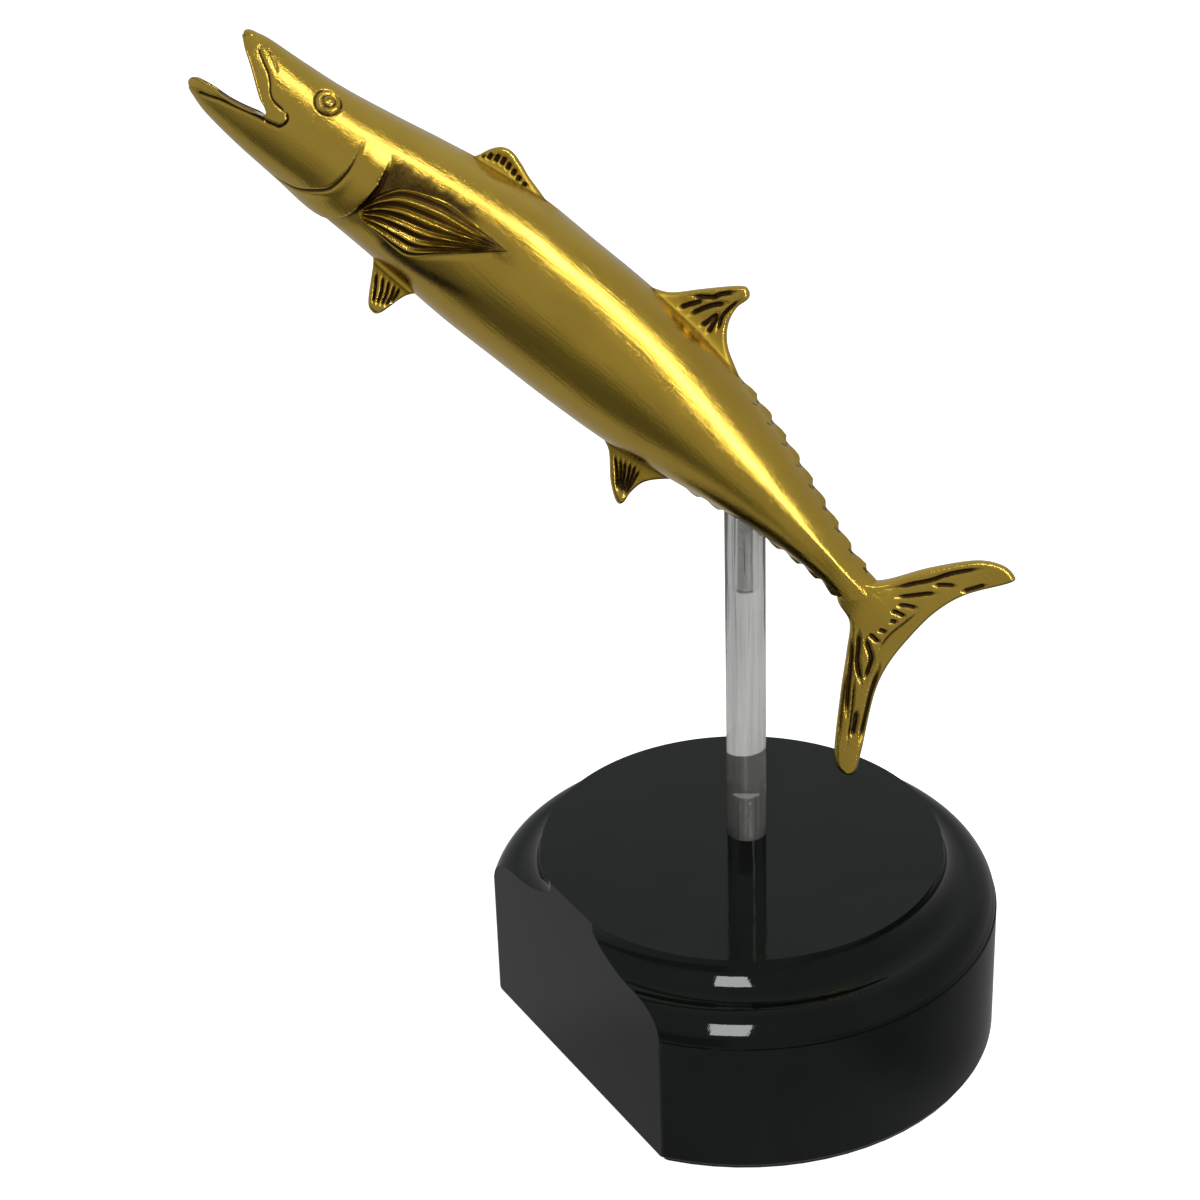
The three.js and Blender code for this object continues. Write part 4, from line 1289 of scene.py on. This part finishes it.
def hang_lamp(name, low, high, width, power, tint, flags):
    """A long lamp between two points, turned to the trophy and flagged."""
    low, high = Vector(low), Vector(high)
    place, along = (low + high) / 2, (high - low).normalized()
    across = along.cross((place - FISH_PLACE).normalized()).normalized()
    lamp = bpy.data.lights.new(name, "AREA")
    lamp.shape = "RECTANGLE"
    lamp.size, lamp.size_y = width, (high - low).length
    lamp.energy = power
    lamp.color = tint
    thing = set_up(name, lamp, place, (across, along, across.cross(along)))
    flagged = bpy.data.collections.new(name + "_flags")
    flagged.objects.link(bpy.data.objects["base_block_lacquered"])
    for member in flagged.collection_objects:
        member.light_linking.link_state = flags
    thing.light_linking.receiver_collection = flagged


def set_camera():
    """The camera, at the place, direction and roll that are given above."""
    camera = bpy.data.cameras.new("photo_view")
    camera.lens = CAMERA_LENS
    camera.sensor_width = 36
    camera.sensor_fit = "HORIZONTAL"
    forward = CAMERA_VIEW.normalized()
    level = forward.cross(Vector((0, 0, 1))).normalized()
    upright = level.cross(forward)
    cosine, sine = math.cos(math.radians(CAMERA_ROLL)), math.sin(math.radians(CAMERA_ROLL))
    right, up = level * cosine + upright * sine, upright * cosine - level * sine
    bpy.context.scene.camera = set_up("photo_view", camera, CAMERA_PLACE, (right, up, -forward))


# Sizes and colours that a user would change


class TrophyFish(bpy.types.PropertyGroup):
    groove_depth: length_prop("Groove depth", "Depth of the cast lines on the head and fins", 0.00055)
    gill_step: length_prop("Gill step", "How far the gill cover stands over the flank", 0.0008)
    eye_radius: length_prop("Eye radius", "Radius of the eye's outer ring", 0.003)
    pectoral_rise: length_prop("Pectoral rise", "How far each pectoral fin stands out of the flank", 0.0016)
    pectoral_rays: bpy.props.IntProperty(
        name="Pectoral rays", description="Ribs on each pectoral fin", default=5, min=1, max=12
    )


class TrophyBase(bpy.types.PropertyGroup):
    disc_radius: length_prop("Disc radius", "Radius of the raised top disc", 0.051)
    rim_drop: length_prop("Rim drop", "Upright edge of the top disc", 0.0015)
    cove_radius: length_prop("Cove radius", "Radius of the hollow moulding", 0.007)
    shoulder_height: length_prop("Shoulder height", "Height of the rounded moulding", 0.0076)
    ledge_width: length_prop("Ledge width", "Fine ledge over the wall", 0.0003)
    flat_distance: length_prop("Flat distance", "From the middle to the cut front", 0.05)
    corner_radius: length_prop("Corner radius", "Rounding of the front's upright corners", 0.0025)
    edge_softening: length_prop("Edge softening", "Rounding of the lacquered edges", 0.00045)
    fit_gap: length_prop("Fit gap", "Clearance round the screw", 0.0003)
    rod_gap: length_prop("Rod gap", "Clearance round the rod", 0.00006)


class TrophyColours(bpy.types.PropertyGroup):
    gold: colour_prop("Gold", "Polished gold", (0.52, 0.348, 0.046))
    gold_deep: colour_prop("Deep gold", "Gold where the polish is thinner", (0.46, 0.303, 0.038))
    # Dark colour of the patina, also used for the painted shade on the body and at the fin roots
    patina_and_shade: colour_prop("Patina", "Dark patina in the recesses", (0.038, 0.02, 0.0045))
    lacquer: colour_prop("Lacquer", "Black lacquer", (0.0014, 0.002, 0.0017))
    lacquer_pale: colour_prop("Pale lacquer", "Lacquer where it is thinnest", (0.0022, 0.003, 0.0026))
    # The rod's grey is painted shade for the dark room seen through it; the haze adds its polishing lines
    acrylic: colour_prop("Acrylic", "Clear rod", (0.42, 0.42, 0.41))
    acrylic_haze_and_shade: colour_prop("Acrylic haze", "Clear rod along its polishing lines", (0.34, 0.34, 0.335))
    # Dark streaks on the rod under the fish
    acrylic_streak: colour_prop("Scored acrylic", "Dark lines on the rod under the fish", (0.1, 0.1, 0.1))
    steel: colour_prop("Steel", "Plated fasteners", (0.88, 0.88, 0.86))
    steel_dull: colour_prop("Dull steel", "Stains on the fasteners", (0.7, 0.69, 0.66))
    felt: colour_prop("Felt", "Felt under the base", (0.006, 0.006, 0.006))
    felt_pale: colour_prop("Felt fibres", "Loose fibres on the felt", (0.02, 0.02, 0.021))
    floor: colour_prop("Floor", "Pale floor", (0.5, 0.5, 0.5))


# Operators


class TROPHY_OT_finishes(bpy.types.Operator):
    """Make the materials, and dress the felt pad and the washer"""

    bl_idname = "trophy.finishes"
    bl_label = "Finishes"

    def execute(self, context):
        gold_finish()
        lacquer_finish()
        acrylic_finish()
        felt_finish()
        steel_finish("threaded_steel", False)
        steel_finish("turned_steel", True)
        for name, material, slot in (
            ("felt_pad", "pressed_felt", "black_felt"), ("base_washer", "turned_steel", "steel"),
        ):
            dress(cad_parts[name], material)
        return {"FINISHED"}


class TROPHY_OT_fish_body(bpy.types.Operator):
    """Model the fish's body with its head, gill covers, eyes, pectoral fins and finlets"""

    bl_idname = "trophy.fish_body"
    bl_label = "Fish body"

    def execute(self, context):
        points, faces = body_mesh()
        body = mesh_piece("fish_body", to_world(points), faces)
        carve(body, mouth_wedge())
        carve(body, mouth_hollow())
        for centre, reach in JAW_TIPS:
            carve(body, blob(centre, reach), "UNION")
        low, gap = ROD_HIGH.z - 2 * FULL_DEPTH * MM, 0.3 * MM
        carve(body, drill(ROD_RADIUS + gap, low, ROD_HIGH.z + gap))
        carve(body, drill(THREAD_RADIUS + gap, low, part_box("fish_stud")[1].z + gap))
        stain_and_shade_body(body)
        gild(body)
        lip("upper_lip", MOUTH_UPPER)
        lip("lower_lip", MOUTH_LOWER)
        pectoral_fin("left_pectoral_fin", 1)
        pectoral_fin("right_pectoral_fin", -1)
        return {"FINISHED"}


class TROPHY_OT_fins(bpy.types.Operator):
    """Model the dorsal, anal and pelvic fins and the tail"""

    bl_idname = "trophy.fins"
    bl_label = "Fins"

    def execute(self, context):
        deep = context.scene.trophy_fish.groove_depth / MM
        slots = alike(FIRST_DORSAL_SLOTS, 0.52, deep * 1.3)
        fin("first_dorsal_fin", FIRST_DORSAL, 2.6, slots, 1)
        grooves = alike(SECOND_DORSAL_GROOVES, 0.55, deep * 1.4)
        grooves += alike([SECOND_DORSAL_LINE], 0.42, deep * 1.2)
        fin("second_dorsal_fin", SECOND_DORSAL, 3.0, grooves, 1)
        grooves = alike(ANAL_GROOVES, 0.32, deep * 1.2)
        grooves += alike([ANAL_LINE], 0.34, deep)
        fin("anal_fin", ANAL_FIN, 2.8, grooves, -1)
        grooves = alike(PELVIC_GROOVES, 0.34, deep * 1.1)
        pelvic_fin("left_pelvic_fin", 1, grooves)
        pelvic_fin("right_pelvic_fin", -1, grooves)
        grooves = alike(TAIL_GROOVES, 0.5, deep * 1.15)
        grooves += alike([TAIL_BAND], 0.3, deep * 0.5, 0.75)
        grooves += alike(TAIL_FINE_LINES, 0.26, deep * 0.6, 0.85)
        tail(grooves)
        return {"FINISHED"}


class TROPHY_OT_base(bpy.types.Operator):
    """Turn the moulded base, cut its flat front and drill it"""

    bl_idname = "trophy.base"
    bl_label = "Base"

    def execute(self, context):
        sizes = context.scene.trophy_base
        low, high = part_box("base_block")
        block = spun("base_block_lacquered", base_profile(sizes, high.x, low.z, high.z), 300)
        plan = base_plan(sizes, high.x)
        points, faces = loft([[(x, y, z) for x, y in plan] for z in (low.z - 0.01, high.z + 0.01)])
        carve(block, mesh_piece("plan_trim", points, faces), "INTERSECT")
        carve(block, drill(THREAD_RADIUS + sizes.fit_gap, 0, high.z, 48))
        carve(block, drill(SCREW_RECESS, 0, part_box("base_washer")[1].z))
        soften(block, sizes.edge_softening)
        carve(block, drill(ROD_RADIUS + sizes.rod_gap, ROD_LOW.z, high.z + 0.01, 160))
        finish_piece(block, "gloss_lacquer", "base_block", 40, True)
        return {"FINISHED"}


class TROPHY_OT_rod(bpy.types.Operator):
    """Turn the clear rod and drill both of its ends"""

    bl_idname = "trophy.rod"
    bl_label = "Rod"

    def execute(self, context):
        rod = drill(ROD_RADIUS, ROD_LOW.z, ROD_HIGH.z, 160)
        rod.name = "clear_rod_drilled"
        soften(rod, 0.4 * MM, 3, 60)
        stud_low, screw_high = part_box("fish_stud")[0].z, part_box("base_screw")[1].z
        carve(rod, drill(ROD_BORE, stud_low - 0.3 * MM, ROD_HIGH.z + 0.01, 64))
        carve(rod, drill(ROD_BORE, ROD_LOW.z - 0.01, screw_high + 0.3 * MM, 64))
        x, y, z = points_of(rod).T
        store(rod, "bore", (np.hypot(x - ROD_AXIS.x, y - ROD_AXIS.y) < 3 * MM) & (z > stud_low - MM))
        finish_piece(rod, "polished_acrylic", "clear_rod")
        return {"FINISHED"}


class TROPHY_OT_fasteners(bpy.types.Operator):
    """Thread the stud in the fish and the screw under the base"""

    bl_idname = "trophy.fasteners"
    bl_label = "Fasteners"

    def execute(self, context):
        radius, end = THREAD_RADIUS, 0.5 * MM
        low, high = (corner.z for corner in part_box("fish_stud"))
        point = [(radius, high - end), (radius - end, high), (0, high)]
        outline = [(0, low), (radius - end, low), (radius, low + end), *point]
        stud = threaded("threaded_stud", outline, low + end, high - end)
        finish_piece(stud, "threaded_steel", "fish_stud", 35)

        low, high = (corner.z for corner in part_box("base_screw"))
        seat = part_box("base_washer")[0].z
        head, rounding = 4 * MM, 0.8 * MM
        point = [(radius, high - end), (radius - end, high), (0, high)]
        head_edge = arc((head - rounding, low + rounding), rounding, rounding, -90, 0, 6)
        outline = [(0, low), *head_edge, (head, seat), (radius, seat), *point]
        screw = threaded("base_screw_threaded", outline, seat + 18 * MM, high - end)
        carve(screw, drill(1.6 * MM, low - MM, low + 1.5 * MM, 6))
        finish_piece(screw, "threaded_steel", "base_screw", 35)
        return {"FINISHED"}


class TROPHY_OT_stage(bpy.types.Operator):
    """Set the pale floor, the lamps, the world and the camera"""

    bl_idname = "trophy.stage"
    bl_label = "Stage"

    def execute(self, context):
        context.scene.view_settings.view_transform = "Standard"
        lay_floor()
        light_world()
        for lamp in LAMPS:
            hang_lamp(*lamp)
        set_camera()
        return {"FINISHED"}


class TROPHY_PT_panel(bpy.types.Panel):
    bl_label = "Fishing Trophy"
    bl_idname = "TROPHY_PT_panel"
    bl_space_type = "VIEW_3D"
    bl_region_type = "UI"
    bl_category = "Trophy"

    def draw(self, context):
        for operator in OPERATORS:
            self.layout.operator(operator.bl_idname)
        for group in GROUPS:
            settings = getattr(context.scene, group)
            for name in settings.__annotations__:
                self.layout.prop(settings, name)


OPERATORS = (
    TROPHY_OT_finishes, TROPHY_OT_fish_body, TROPHY_OT_fins, TROPHY_OT_base, TROPHY_OT_rod,
    TROPHY_OT_fasteners, TROPHY_OT_stage,
)
GROUPS = {"trophy_fish": TrophyFish, "trophy_base": TrophyBase, "trophy_colours": TrophyColours}
CLASSES = (*GROUPS.values(), *OPERATORS, TROPHY_PT_panel)


def register():
    for cls in CLASSES:
        bpy.utils.register_class(cls)
    for name, group in GROUPS.items():
        setattr(bpy.types.Scene, name, bpy.props.PointerProperty(type=group))


def unregister():
    for name in GROUPS:
        delattr(bpy.types.Scene, name)
    for cls in reversed(CLASSES):
        bpy.utils.unregister_class(cls)


def main():
    register()
    bpy.ops.object.select_all(action="DESELECT")
    bpy.ops.trophy.finishes()
    bpy.ops.trophy.fish_body()
    bpy.ops.trophy.fins()
    bpy.ops.trophy.base()
    bpy.ops.trophy.rod()
    bpy.ops.trophy.fasteners()
    bpy.ops.trophy.stage()


if __name__ == "__main__":
    main()
